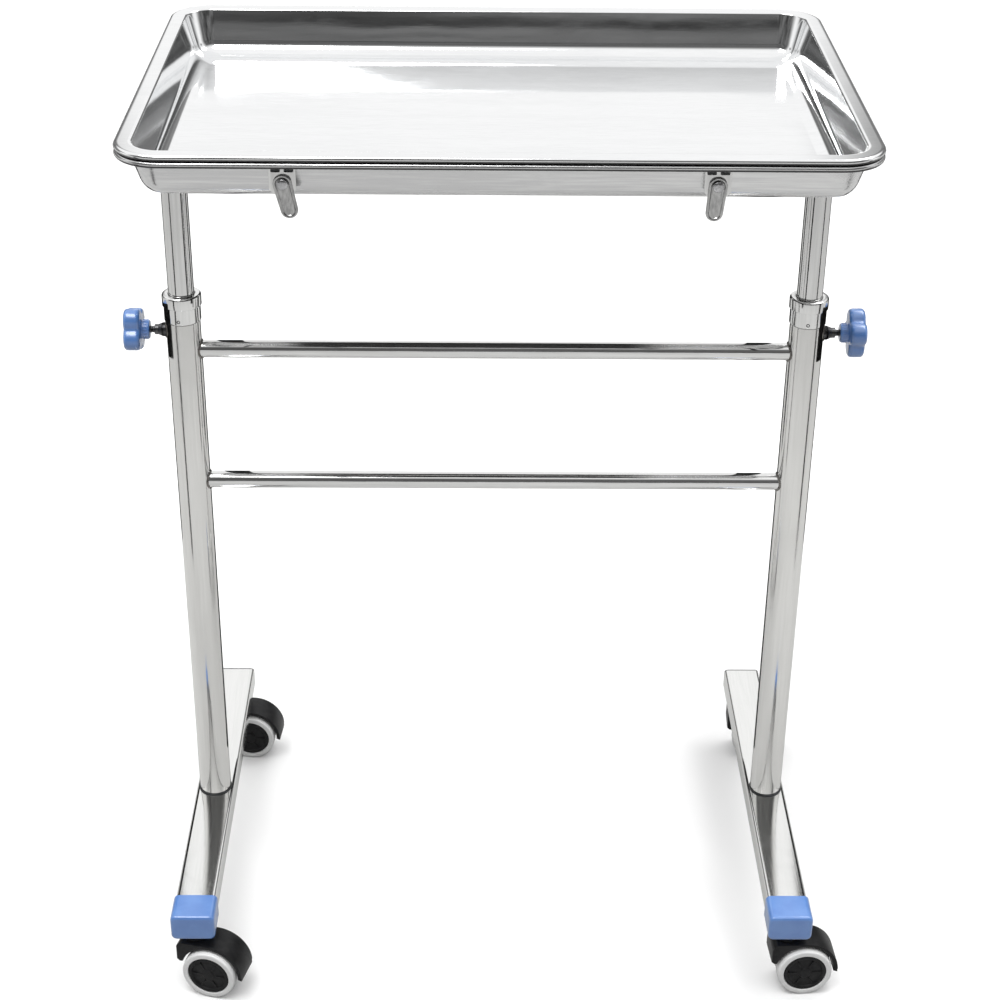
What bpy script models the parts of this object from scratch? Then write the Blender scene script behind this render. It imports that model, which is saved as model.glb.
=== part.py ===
"""Instrument cart: a height-adjustable double-post stand with a lift-out tray.

X runs across the cart, -Y is its front and +Z is up. The origin is on the floor,
under the middle of the cart. All lengths are in metres.
"""

import math

import bmesh
import bpy
from mathutils import Matrix, Vector

# ---------------------------------------------------------------- driving dimensions

GAP = 0.0003                    # left between pieces that touch
RUNNING_GAP = 0.0005            # left between pieces that turn on each other

# Tray and holder
RIM_HEIGHT = 0.688              # top of the tray's flange above the floor
TRAY_LENGTH = 0.490
TRAY_WIDTH = 0.340
RIM_CORNER_RADIUS = 0.031
FLOOR_CORNER_RADIUS = 0.010     # least corner radius, reached at the floor
FLANGE_WIDTH = 0.012
FLANGE_EDGE_RADIUS = 0.0018     # where the flange turns down into the wall
BEAD_RADIUS = 0.0021
TRAY_DEPTH = 0.032
TRAY_SHEET = 0.0010
WALL_DRAFT = 0.005
FLOOR_FILLET = 0.013
HOLDER_SHEET = 0.0012
HOLDER_CLEARANCE = 0.0004

# Plates that carry the holder on the inner posts
BRACKET_THICKNESS = 0.003
BRACKET_HALF_WIDTH = 0.018
BRACKET_INNER_END = 0.165       # from the middle of the cart
BRACKET_OVERHANG = 0.0015       # beyond the inner post
BRACKET_CORNER_RADIUS = 0.006

# Posts
POST_SPACING = 0.460
OUTER_POST_RADIUS = 0.0127
OUTER_POST_WALL = 0.0012
INNER_POST_RADIUS = 0.0095
INNER_POST_WALL = 0.0010
INNER_POST_OVERLAP = 0.280      # length of inner post held in the outer post
COLLAR_TOP = 0.523
COLLAR_RING_HEIGHT = 0.009
COLLAR_RING_RADIUS = 0.0144
COLLAR_SLEEVE_HEIGHT = 0.012
COLLAR_SLEEVE_RADIUS = 0.0135
COLLAR_SPIGOT_HEIGHT = 0.005
COLLAR_CHAMFER = 0.0014
BUSH_FLANGE = 0.0060
BUSH_NECK = 0.0140

# Crossbars
CROSSBAR_RADIUS = 0.0065
CROSSBAR_WALL = 0.0012
UPPER_CROSSBAR_HEIGHT = 0.478
LOWER_CROSSBAR_HEIGHT = 0.368

# Clamps
CLAMP_HEIGHT = 0.4935
CLAMP_SCREW_RADIUS = 0.0025
BOSS_LENGTH = 0.0085
BOSS_RADIUS = 0.0052
BOSS_NOSE_RADIUS = 0.0038
BOSS_NOSE_LENGTH = 0.0030
BOSS_SHOULDER = 0.0020          # full-radius length proud of the post
BOSS_SINK = 0.00112             # how far the boss is let into the post's wall
KNOB_REACH = 0.2726             # outer face of the knob from the middle of the cart
KNOB_DISC = 0.0120
KNOB_HUB_LENGTH = 0.0060
KNOB_HUB_RADIUS = 0.0070
KNOB_LOBES = 4
KNOB_LOBE_RADIUS = 0.0085
KNOB_LOBE_REACH = 0.0098
KNOB_LOBE_SPREAD = 75.0         # degrees of each lobe's arc, each way
KNOB_EDGE = 0.0016
KNOB_SOCKET_DEPTH = 0.0010      # beyond the middle of the disc
SCREW_POINT = 0.0006
KNOB_REST_TURN = {"left": math.radians(21.0), "right": math.radians(27.0)}

# Base
RAIL_TOP = 0.076
RAIL_WIDTH = 0.031
RAIL_HEIGHT = 0.0195
RAIL_WALL = 0.0015
RAIL_CORNER_RADIUS = 0.003
RAIL_FRONT = -0.168             # front face of the front cap
RAIL_REAR = 0.1765              # rear face of the rear plug
CAP_WALL = 0.0014               # the rail's end sits in the cap with the usual gap
CAP_LENGTH = 0.027
CAP_EDGE = 0.0022
PLUG_FLANGE = 0.0015
PLUG_LENGTH = 0.0050
PLUG_CORNER_RADIUS = 0.0012
POST_BOLT_RADIUS = 0.0040
POST_BOLT_HEAD = 0.0045
POST_BOLT_HEAD_RADIUS = 0.0065
POST_BOLT_CHAMFER = 0.0008
POST_FLOOR = 0.010              # solid lower end of the outer post, threaded for its bolt

# Casters
CASTER_FRONT_Y = -0.153
CASTER_REAR_Y = 0.159
CASTER_TRAIL = 0.014
WHEEL_RADIUS = 0.0215
WHEEL_WIDTH = 0.0114
WHEEL_SPREAD = 0.0300           # across the outer faces of the two wheels
TREAD_SHOULDER = 0.0018
HUB_RADIUS = 0.0165
HUB_CHAMFER = 0.0010
HUB_FACE = 0.0030               # thickness of the hub's closed outer face
AXLE_RADIUS = 0.0030
HOOD_RADIUS = 0.0265
HOOD_INNER_RADIUS = 0.0232
HOOD_WIDTH = 0.0250
HOOD_WEB = 0.0050
HOOD_WEB_EYE = 0.0068           # radius of the web round the axle
HOOD_FRONT = 0.0125             # upright front of the hood, ahead of the swivel axis
HOOD_SHOULDER = 0.0060
HOOD_TOP = 0.0500               # top of the swivel boss above the floor
SWIVEL_SOCKET_DEPTH = 0.0070
SWIVEL_BOSS_RADIUS = 0.0090
SWIVEL_BOSS_CHAMFER = 0.0010
STEM_RADIUS = 0.0040
STEM_NUT_RADIUS = 0.0062
STEM_NUT_HEIGHT = 0.0050
STEM_END = 0.0020               # shank above the nut
STEM_FLANGE_RADIUS = 0.0075
CASTER_YAW = {                  # trailing direction, turned from +X about +Z
    "front_left": math.radians(-15.0),
    "front_right": math.radians(3.0),
    "rear_left": math.radians(-5.0),
    "rear_right": math.radians(-3.0),
}

# Latches
LATCH_OFFSET = 0.137
LATCH_PIVOT_HEIGHT = 0.668
LATCH_BRACKET_WIDTH = 0.017
LATCH_BRACKET_THICKNESS = 0.0015
LATCH_BRACKET_DROP = 0.0075     # below the rivet
LATCH_BRACKET_CHAMFER = 0.0030
LATCH_BRACKET_HEADROOM = 0.0030 # below the holder's flange
LATCH_SLOT_OFFSET = 0.0042
LATCH_SLOT_HALF_WIDTH = 0.0030
LATCH_SLOT_TOP = 0.0015         # below the bracket's top edge
LATCH_SLOT_FOOT = 0.0040
LATCH_LEVER_WIDTH = 0.0120
LATCH_LEVER_THICKNESS = 0.0022
LATCH_LEVER_REACH = 0.0235      # from the rivet to the rounded end
LATCH_LEVER_TAPER = 0.92        # end radius over the radius at the rivet
LATCH_RIVET_RADIUS = 0.0020
LATCH_RIVET_HEAD = 0.0012
LATCH_RIVET_HEAD_RADIUS = 0.0036
LATCH_LEAN = {"left": math.radians(13.0), "right": math.radians(-5.0)}

SIDES = {"left": -1.0, "right": 1.0}
ROUND = 28                      # steps around a post
MEDIUM_ROUND = 24               # steps around a wheel, a crossbar or a knob
SMALL_ROUND = 16                # steps around a pin or a screw

# ---------------------------------------------------------------- derived places

RAIL_UNDERSIDE = RAIL_TOP - RAIL_HEIGHT
OUTER_POST_FOOT = RAIL_TOP + GAP
OUTER_POST_TOP = COLLAR_TOP - COLLAR_RING_HEIGHT - COLLAR_SLEEVE_HEIGHT - GAP
HOLDER_RIM_HEIGHT = RIM_HEIGHT - 2 * BEAD_RADIUS - GAP
HOLDER_UNDERSIDE = RIM_HEIGHT - TRAY_DEPTH - TRAY_SHEET - HOLDER_CLEARANCE - HOLDER_SHEET
BRACKET_TOP = HOLDER_UNDERSIDE - GAP
INNER_POST_TOP = BRACKET_TOP - BRACKET_THICKNESS - GAP
INNER_POST_FOOT = OUTER_POST_TOP - INNER_POST_OVERLAP
HOLDER_WALL_OFFSET = FLANGE_WIDTH - TRAY_SHEET - HOLDER_CLEARANCE - HOLDER_SHEET
HOLDER_FRONT_FACE = -(TRAY_WIDTH / 2 - HOLDER_WALL_OFFSET)


# ---------------------------------------------------------------- scene and materials

def clear_scene():
    for item in list(bpy.data.objects):
        bpy.data.objects.remove(item)


def make_collection(name):
    collection = bpy.data.collections.new(name)
    bpy.context.scene.collection.children.link(collection)
    return collection


clear_scene()
PARTS = make_collection("instrument_cart")
CUTTERS = make_collection("cutters")

FINISHES = {
    # name: (colour, roughness, metallic)
    "mirror_steel": ((0.86, 0.87, 0.88), 0.08, 1.0),
    "satin_steel": ((0.72, 0.72, 0.72), 0.35, 1.0),
    "polished_tube": ((0.80, 0.80, 0.80), 0.18, 1.0),
    "hardware_steel": ((0.60, 0.60, 0.61), 0.30, 1.0),
    "blue_plastic": ((0.36, 0.55, 0.90), 0.40, 0.0),
    "dark_plastic": ((0.05, 0.06, 0.07), 0.45, 0.0),
    "caster_black": ((0.012, 0.012, 0.014), 0.35, 0.0),
    "tread_white": ((0.85, 0.85, 0.84), 0.55, 0.0),
    "glide_nylon": ((0.80, 0.79, 0.74), 0.50, 0.0),
}


def give_material(item, finish):
    """Give a piece its own Principled material with the named finish."""
    colour, roughness, metallic = FINISHES[finish]
    material = bpy.data.materials.new(item.name + "_" + finish)
    material.use_nodes = True
    shader = material.node_tree.nodes["Principled BSDF"]
    shader.inputs["Base Color"].default_value = (*colour, 1.0)
    shader.inputs["Roughness"].default_value = roughness
    shader.inputs["Metallic"].default_value = metallic
    material.diffuse_color = (*colour, 1.0)
    item.data.materials.clear()
    item.data.materials.append(material)


# ---------------------------------------------------------------- making shapes

def link_mesh(name, mesh, collection=PARTS):
    item = bpy.data.objects.new(name, mesh)
    collection.objects.link(item)
    return item


def evaluated_copy(item):
    """A plain mesh of the object with its modifiers applied and its caps welded."""
    bpy.context.view_layer.update()
    graph = bpy.context.evaluated_depsgraph_get()
    mesh = bpy.data.meshes.new_from_object(item.evaluated_get(graph))
    shape = bmesh.new()
    shape.from_mesh(mesh)
    bmesh.ops.remove_doubles(shape, verts=shape.verts, dist=0.00001)
    bmesh.ops.recalc_face_normals(shape, faces=shape.faces)
    shape.to_mesh(mesh)
    shape.free()
    return mesh


def turned(name, profile, steps=ROUND, collection=PARTS):
    """Turn a closed profile of (radius, height) points about Z.

    The profile runs down its outer side and comes back up its inner side, so that the
    surface faces outwards. Points on the axis close the piece there.
    """
    shape = bmesh.new()
    corners = [shape.verts.new((radius, 0.0, height)) for radius, height in profile]
    for start, end in zip(corners, corners[1:]):
        shape.edges.new((start, end))
    if profile[0][0] > 0.0:
        shape.edges.new((corners[-1], corners[0]))
    mesh = bpy.data.meshes.new(name)
    shape.to_mesh(mesh)
    shape.free()
    source = link_mesh(name + "_profile", mesh, CUTTERS)
    screw = source.modifiers.new("Turn", "SCREW")
    screw.axis = "Z"
    screw.angle = math.tau
    screw.steps = steps
    screw.render_steps = steps
    screw.use_merge_vertices = True
    screw.merge_threshold = 0.00001
    result = link_mesh(name, evaluated_copy(source), collection)
    result.data.name = name
    bpy.data.objects.remove(source)
    return result


def outlined(name, outline, thickness, holes=(), collection=PARTS):
    """A flat plate from an outline of (x, y) points, centred on its thickness in Z."""
    curve = bpy.data.curves.new(name, "CURVE")
    curve.dimensions = "2D"
    curve.fill_mode = "BOTH"
    curve.extrude = thickness / 2
    for points in (outline, *holes):
        spline = curve.splines.new("POLY")
        spline.points.add(len(points) - 1)
        for point, (x, y) in zip(spline.points, points):
            point.co = (x, y, 0.0, 1.0)
        spline.use_cyclic_u = True
    source = bpy.data.objects.new(name + "_outline", curve)
    CUTTERS.objects.link(source)
    result = link_mesh(name, evaluated_copy(source), collection)
    bpy.data.objects.remove(source)
    return result


def boxed(name, low, high, bevel=0.0, collection=PARTS):
    """A box between two corners, with its edges rounded when a bevel is given."""
    shape = bmesh.new()
    bmesh.ops.create_cube(shape, size=1.0)
    size = Vector(high) - Vector(low)
    bmesh.ops.scale(shape, vec=size, verts=shape.verts)
    bmesh.ops.translate(shape, vec=(Vector(high) + Vector(low)) / 2, verts=shape.verts)
    if bevel > 0.0:
        bmesh.ops.bevel(shape, geom=shape.edges, offset=bevel, segments=2, profile=0.5,
                        affect="EDGES")
    mesh = bpy.data.meshes.new(name)
    shape.to_mesh(mesh)
    shape.free()
    return link_mesh(name, mesh, collection)


def place(item, matrix):
    """Move a piece's mesh by a matrix, leaving its object at the origin."""
    item.data.transform(matrix)
    item.data.update()
    return item


def boolean(item, other, operation):
    """Cut another piece from this one, or join it on, and drop the other piece."""
    step = item.modifiers.new(operation.title(), "BOOLEAN")
    step.operation = operation
    step.solver = "EXACT"
    step.object = other
    other.hide_render = True
    other.display_type = "WIRE"
    mesh = evaluated_copy(item)
    item.modifiers.clear()
    item.data = mesh
    bpy.data.objects.remove(other)
    return item


def cut(item, other):
    return boolean(item, other, "DIFFERENCE")


def join(item, other):
    return boolean(item, other, "UNION")


def rod(name, radius, start, end, steps=SMALL_ROUND, collection=CUTTERS):
    """A plain round bar between two points."""
    run = Vector(end) - Vector(start)
    shape = bmesh.new()
    bmesh.ops.create_cone(shape, cap_ends=True, segments=steps, radius1=radius,
                          radius2=radius, depth=run.length)
    turn = run.to_track_quat("Z", "Y").to_matrix().to_4x4()
    middle = (Vector(start) + Vector(end)) / 2
    bmesh.ops.transform(shape, matrix=Matrix.Translation(middle) @ turn, verts=shape.verts)
    mesh = bpy.data.meshes.new(name)
    shape.to_mesh(mesh)
    shape.free()
    return link_mesh(name, mesh, collection)


def arc(centre_x, centre_y, radius, start, end, steps):
    """Points along an arc, with its angles in degrees."""
    points = []
    for index in range(steps + 1):
        angle = math.radians(start + (end - start) * index / steps)
        points.append((centre_x + radius * math.cos(angle), centre_y + radius * math.sin(angle)))
    return points


def rounded_rectangle(half_x, half_y, radius, steps=6):
    """Outline of a rectangle with round corners, anticlockwise from its +X side."""
    points = []
    for index, (side_x, side_y) in enumerate(((1, 1), (-1, 1), (-1, -1), (1, -1))):
        centre_x = side_x * (half_x - radius)
        centre_y = side_y * (half_y - radius)
        points += arc(centre_x, centre_y, radius, 90 * index, 90 * (index + 1), steps)
    return points


def finish_piece(item, finish, pivot=None, crease=35.0):
    """Give a piece its material and smooth shading, with its origin on its joint axis."""
    item.data.shade_smooth()
    item.data.set_sharp_from_angle(angle=math.radians(crease))
    item.data.name = item.name
    if pivot is not None:
        item.data.transform(Matrix.Translation(-Vector(pivot)))
        item.location = pivot
    give_material(item, finish)
    return item


# ---------------------------------------------------------------- tray and holder

def pressed_section(rim, flange, draft, fillet, depth, sheet):
    """Section of a pressed tray as (inset from the rim's edge, height) points.

    It starts at the middle of the floor's upper side, runs out over the wall, the flange
    and the rolled bead, and comes back under them to the floor's lower side.
    """
    bead = BEAD_RADIUS
    floor = rim - depth
    wall_foot = flange + draft
    section = []
    # Upper side: floor fillet, wall, flange edge
    for x, z in arc(wall_foot + fillet, floor + fillet, fillet, 270, 180, 4):
        section.append((x, z))
    edge = FLANGE_EDGE_RADIUS
    for x, z in arc(flange - edge, rim - edge, edge, 0, 90, 2):
        section.append((x, z))
    # Rolled bead, from its top round its outer side to where it meets the flange again
    for x, z in arc(bead, rim - bead, bead, 90, 360, 6):
        section.append((x, z))
    # Lower side: flange, wall, floor fillet
    section.append((2 * bead, rim - sheet))
    section.append((flange - edge, rim - sheet))
    section.append((flange - sheet, rim - edge - sheet / 2))
    for x, z in arc(wall_foot + fillet, floor + fillet, fillet + sheet, 180, 270, 4):
        section.append((x, z))
    return section


def pressed_tray(name, section, corner_steps=5):
    """Sweep a tray's section round its rounded rectangle and close both floors."""
    shape = bmesh.new()
    rings = []
    for inset, height in section:
        radius = max(RIM_CORNER_RADIUS - inset, FLOOR_CORNER_RADIUS)
        outline = rounded_rectangle(TRAY_LENGTH / 2 - inset, TRAY_WIDTH / 2 - inset,
                                    radius, corner_steps)
        ring = [shape.verts.new((x, y, height)) for x, y in outline]
        rings.append(ring)
    for inner, outer in zip(rings, rings[1:]):
        count = len(inner)
        for index in range(count):
            following = (index + 1) % count
            shape.faces.new((inner[index], outer[index], outer[following], inner[following]))
    shape.faces.new(rings[0])
    shape.faces.new(list(reversed(rings[-1])))
    bmesh.ops.recalc_face_normals(shape, faces=shape.faces)
    mesh = bpy.data.meshes.new(name)
    shape.to_mesh(mesh)
    shape.free()
    return link_mesh(name, mesh)


def build_tray_and_holder():
    tray_section = pressed_section(RIM_HEIGHT, FLANGE_WIDTH, WALL_DRAFT, FLOOR_FILLET,
                                   TRAY_DEPTH, TRAY_SHEET)
    tray = pressed_tray("instrument_tray", tray_section)
    finish_piece(tray, "mirror_steel")

    step_out = TRAY_SHEET + HOLDER_CLEARANCE
    holder_depth = HOLDER_RIM_HEIGHT - (HOLDER_UNDERSIDE + HOLDER_SHEET)
    holder_section = pressed_section(HOLDER_RIM_HEIGHT, FLANGE_WIDTH - step_out, WALL_DRAFT,
                                     FLOOR_FILLET + step_out, holder_depth, HOLDER_SHEET)
    holder = pressed_tray("tray_holder", holder_section)
    finish_piece(holder, "satin_steel")


def build_post_brackets():
    """Plates under the holder that carry it on the inner posts."""
    outer_end = POST_SPACING / 2 + INNER_POST_RADIUS + BRACKET_OVERHANG
    half_length = (outer_end - BRACKET_INNER_END) / 2
    middle_x = (outer_end + BRACKET_INNER_END) / 2
    outline = rounded_rectangle(half_length, BRACKET_HALF_WIDTH, BRACKET_CORNER_RADIUS, 3)
    for side, sign in SIDES.items():
        plate = outlined("post_bracket_" + side, outline, BRACKET_THICKNESS)
        middle = (sign * middle_x, 0.0, BRACKET_TOP - BRACKET_THICKNESS / 2)
        place(plate, Matrix.Translation(middle))
        finish_piece(plate, "satin_steel")


# ---------------------------------------------------------------- latches

def build_latches():
    """Tongues that hang from rivets on the holder's front wall."""
    plate_back = HOLDER_FRONT_FACE - GAP
    plate_front = plate_back - LATCH_BRACKET_THICKNESS
    lever_back = plate_front - GAP
    lever_front = lever_back - LATCH_LEVER_THICKNESS
    for side, sign in SIDES.items():
        pivot_x = sign * LATCH_OFFSET
        pivot = Vector((pivot_x, 0.0, LATCH_PIVOT_HEIGHT))
        upright = Matrix.Rotation(math.radians(90.0), 4, "X")

        half = LATCH_BRACKET_WIDTH / 2
        top = HOLDER_RIM_HEIGHT - HOLDER_SHEET - LATCH_BRACKET_HEADROOM - LATCH_PIVOT_HEIGHT
        bottom = -LATCH_BRACKET_DROP
        chamfer = LATCH_BRACKET_CHAMFER
        outline = [(half, bottom + chamfer), (half, top), (-half, top), (-half, bottom + chamfer),
                   (-half + chamfer, bottom), (half - chamfer, bottom)]
        slots = []
        for slot_side in (-1, 1):
            left = slot_side * LATCH_SLOT_OFFSET - LATCH_SLOT_HALF_WIDTH
            right = slot_side * LATCH_SLOT_OFFSET + LATCH_SLOT_HALF_WIDTH
            slot_foot, slot_top = top - LATCH_SLOT_FOOT, top - LATCH_SLOT_TOP
            slots.append([(left, slot_foot), (right, slot_foot), (right, slot_top),
                          (left, slot_top)])
        bracket = outlined("latch_bracket_" + side, outline, LATCH_BRACKET_THICKNESS, slots)
        middle_y = (plate_back + plate_front) / 2
        place(bracket, Matrix.Translation(pivot + Vector((0, middle_y, 0))) @ upright)
        rivet_hole = rod("rivet_hole", LATCH_RIVET_RADIUS + GAP,
                         pivot + Vector((0, plate_back + 0.001, 0)),
                         pivot + Vector((0, plate_front - 0.001, 0)))
        cut(bracket, rivet_hole)
        finish_piece(bracket, "hardware_steel")

        half = LATCH_LEVER_WIDTH / 2
        outline = arc(0, 0, half, 0, 180, 8)
        outline += arc(0, -(LATCH_LEVER_REACH - half), half * LATCH_LEVER_TAPER, 180, 360, 8)
        hole = arc(0, 0, LATCH_RIVET_RADIUS + GAP, 0, 330, 11)
        lever = outlined("latch_lever_" + side, outline, LATCH_LEVER_THICKNESS, [hole])
        middle_y = (lever_back + lever_front) / 2
        lean = Matrix.Rotation(-LATCH_LEAN[side], 4, "Y")
        place(lever, Matrix.Translation(pivot + Vector((0, middle_y, 0))) @ lean @ upright)
        finish_piece(lever, "polished_tube", pivot=pivot + Vector((0, middle_y, 0)))

        head_back = lever_front - GAP
        shank_length = head_back - (plate_back - GAP)
        head, head_radius = LATCH_RIVET_HEAD, LATCH_RIVET_HEAD_RADIUS
        profile = [(0.0, head), (head_radius * 0.6, head * 0.85),
                   (head_radius, head * 0.35), (head_radius, 0.0),
                   (LATCH_RIVET_RADIUS, 0.0), (LATCH_RIVET_RADIUS, shank_length),
                   (0.0, shank_length)]
        rivet = turned("latch_rivet_" + side, profile, SMALL_ROUND)
        face_front = Matrix.Rotation(math.radians(90.0), 4, "X")
        place(rivet, Matrix.Translation(pivot + Vector((0, head_back, 0))) @ face_front)
        finish_piece(rivet, "hardware_steel")


# ---------------------------------------------------------------- posts and crossbars

def tube_profile(outer, inner, low, high):
    return [(outer, high), (outer, low), (inner, low), (inner, high)]


def build_posts():
    for side, sign in SIDES.items():
        post_x = sign * POST_SPACING / 2
        stand = Matrix.Translation((post_x, 0.0, 0.0))
        clamp_axis = Vector((0.0, 0.0, CLAMP_HEIGHT))
        outward = Vector((sign, 0.0, 0.0))

        outer = OUTER_POST_RADIUS
        bore = outer - OUTER_POST_WALL
        thread = POST_BOLT_RADIUS + GAP
        floor_top = OUTER_POST_FOOT + POST_FLOOR
        profile = [(outer, OUTER_POST_TOP), (outer, OUTER_POST_FOOT),
                   (thread, OUTER_POST_FOOT), (thread, floor_top),
                   (bore, floor_top), (bore, OUTER_POST_TOP)]
        post = turned("outer_post_" + side, profile)
        add_clamp_boss(post, clamp_axis, outward)
        place(post, stand)
        finish_piece(post, "polished_tube")

        ring_foot = COLLAR_TOP - COLLAR_RING_HEIGHT
        sleeve_foot = ring_foot - COLLAR_SLEEVE_HEIGHT
        collar_bore = INNER_POST_RADIUS + GAP
        ring, sleeve = COLLAR_RING_RADIUS, COLLAR_SLEEVE_RADIUS
        spigot = bore - GAP
        spigot_foot = sleeve_foot - COLLAR_SPIGOT_HEIGHT
        chamfer = COLLAR_CHAMFER
        profile = [(collar_bore, COLLAR_TOP), (ring - chamfer, COLLAR_TOP),
                   (ring, COLLAR_TOP - chamfer), (ring, ring_foot), (sleeve, ring_foot),
                   (sleeve, sleeve_foot), (spigot, sleeve_foot), (spigot, spigot_foot),
                   (collar_bore, spigot_foot)]
        collar = turned("collar_" + side, profile)
        place(collar, stand)
        finish_piece(collar, "polished_tube")

        profile = tube_profile(INNER_POST_RADIUS, INNER_POST_RADIUS - INNER_POST_WALL,
                               INNER_POST_FOOT, INNER_POST_TOP)
        inner = turned("inner_post_" + side, profile)
        place(inner, stand)
        finish_piece(inner, "polished_tube")

        flange_low = INNER_POST_FOOT - GAP - BUSH_FLANGE
        neck_top = INNER_POST_FOOT + BUSH_NECK
        glide = bore - GAP
        neck = INNER_POST_RADIUS - INNER_POST_WALL - GAP
        profile = [(0.0, neck_top), (neck, neck_top),
                   (neck, INNER_POST_FOOT - GAP), (glide, INNER_POST_FOOT - GAP),
                   (glide, flange_low), (0.0, flange_low)]
        bush = turned("inner_post_bush_" + side, profile, MEDIUM_ROUND)
        place(bush, stand)
        finish_piece(bush, "glide_nylon")


def add_clamp_boss(post, clamp_axis, outward):
    """Weld the threaded boss on a post's outer side and bore it for the clamp screw."""
    buried = OUTER_POST_RADIUS - BOSS_SINK
    tip = OUTER_POST_RADIUS + BOSS_LENGTH
    profile = [(0.0, tip), (BOSS_NOSE_RADIUS, tip), (BOSS_NOSE_RADIUS, tip - BOSS_NOSE_LENGTH),
               (BOSS_RADIUS, OUTER_POST_RADIUS + BOSS_SHOULDER), (BOSS_RADIUS, buried),
               (0.0, buried)]
    boss = turned("boss", profile, SMALL_ROUND, CUTTERS)
    lay = outward.to_track_quat("Z", "Y").to_matrix().to_4x4()
    place(boss, Matrix.Translation(clamp_axis) @ lay)
    join(post, boss)
    hole = rod("screw_hole", CLAMP_SCREW_RADIUS + GAP, clamp_axis + outward * 0.003,
               clamp_axis + outward * (tip + 0.002))
    cut(post, hole)


def build_crossbars():
    heights = {"upper_crossbar": UPPER_CROSSBAR_HEIGHT, "lower_crossbar": LOWER_CROSSBAR_HEIGHT}
    half = POST_SPACING / 2
    for name, height in heights.items():
        profile = tube_profile(CROSSBAR_RADIUS, CROSSBAR_RADIUS - CROSSBAR_WALL, -half, half)
        bar = turned(name, profile, MEDIUM_ROUND)
        across = Matrix.Rotation(math.radians(90.0), 4, "Y")
        place(bar, Matrix.Translation((0.0, 0.0, height)) @ across)
        for sign in SIDES.values():
            cope = rod("cope", OUTER_POST_RADIUS + GAP, (sign * half, 0, height - 0.02),
                       (sign * half, 0, height + 0.02), ROUND)
            cut(bar, cope)
        finish_piece(bar, "polished_tube")


# ---------------------------------------------------------------- clamp knobs

def knob_outline(turn):
    """Outline of the lobed disc: round lobes joined by shallow waists."""
    points = []
    for index in range(KNOB_LOBES):
        heading = math.degrees(turn) + 45.0 + 360.0 * index / KNOB_LOBES
        centre_x = KNOB_LOBE_REACH * math.cos(math.radians(heading))
        centre_y = KNOB_LOBE_REACH * math.sin(math.radians(heading))
        points += arc(centre_x, centre_y, KNOB_LOBE_RADIUS, heading - KNOB_LOBE_SPREAD,
                      heading + KNOB_LOBE_SPREAD, 8)
    return points


def build_clamps():
    for side, sign in SIDES.items():
        outward = Vector((sign, 0.0, 0.0))
        centre = Vector((0.0, 0.0, CLAMP_HEIGHT))
        lay = outward.to_track_quat("Z", "Y").to_matrix().to_4x4()

        disc_middle = KNOB_REACH - KNOB_DISC / 2
        hub_end = KNOB_REACH - KNOB_DISC - KNOB_HUB_LENGTH
        knob = outlined("knob_" + side, knob_outline(KNOB_REST_TURN[side]), KNOB_DISC)
        soften = knob.modifiers.new("Soften", "BEVEL")
        soften.width = KNOB_EDGE
        soften.segments = 1
        soften.limit_method = "ANGLE"
        soften.angle_limit = math.radians(60.0)
        knob.data = evaluated_copy(knob)
        knob.modifiers.clear()
        place(knob, Matrix.Translation(centre + outward * disc_middle) @ lay)
        hub_start = disc_middle - hub_end
        profile = [(0.0, 0.0), (KNOB_HUB_RADIUS, 0.0), (KNOB_HUB_RADIUS, -hub_start + 0.001),
                   (KNOB_HUB_RADIUS - 0.001, -hub_start), (0.0, -hub_start)]
        hub = turned("knob_hub", profile, SMALL_ROUND, CUTTERS)
        place(hub, Matrix.Translation(centre + outward * disc_middle) @ lay)
        join(knob, hub)
        socket_end = disc_middle + KNOB_SOCKET_DEPTH
        socket = rod("socket", CLAMP_SCREW_RADIUS + GAP, centre + outward * (hub_end - 0.002),
                     centre + outward * socket_end)
        cut(knob, socket)
        pivot = centre + outward * disc_middle
        finish_piece(knob, "blue_plastic", pivot=pivot)

        tip = POST_SPACING / 2 + INNER_POST_RADIUS + GAP
        length = socket_end - GAP - tip
        profile = [(0.0, length), (CLAMP_SCREW_RADIUS, length),
                   (CLAMP_SCREW_RADIUS, SCREW_POINT), (CLAMP_SCREW_RADIUS - SCREW_POINT, 0.0),
                   (0.0, 0.0)]
        screw = turned("clamp_screw_" + side, profile, SMALL_ROUND)
        place(screw, Matrix.Translation(centre + outward * tip) @ lay)
        finish_piece(screw, "hardware_steel", pivot=centre + outward * tip)


# ---------------------------------------------------------------- base rails

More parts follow.
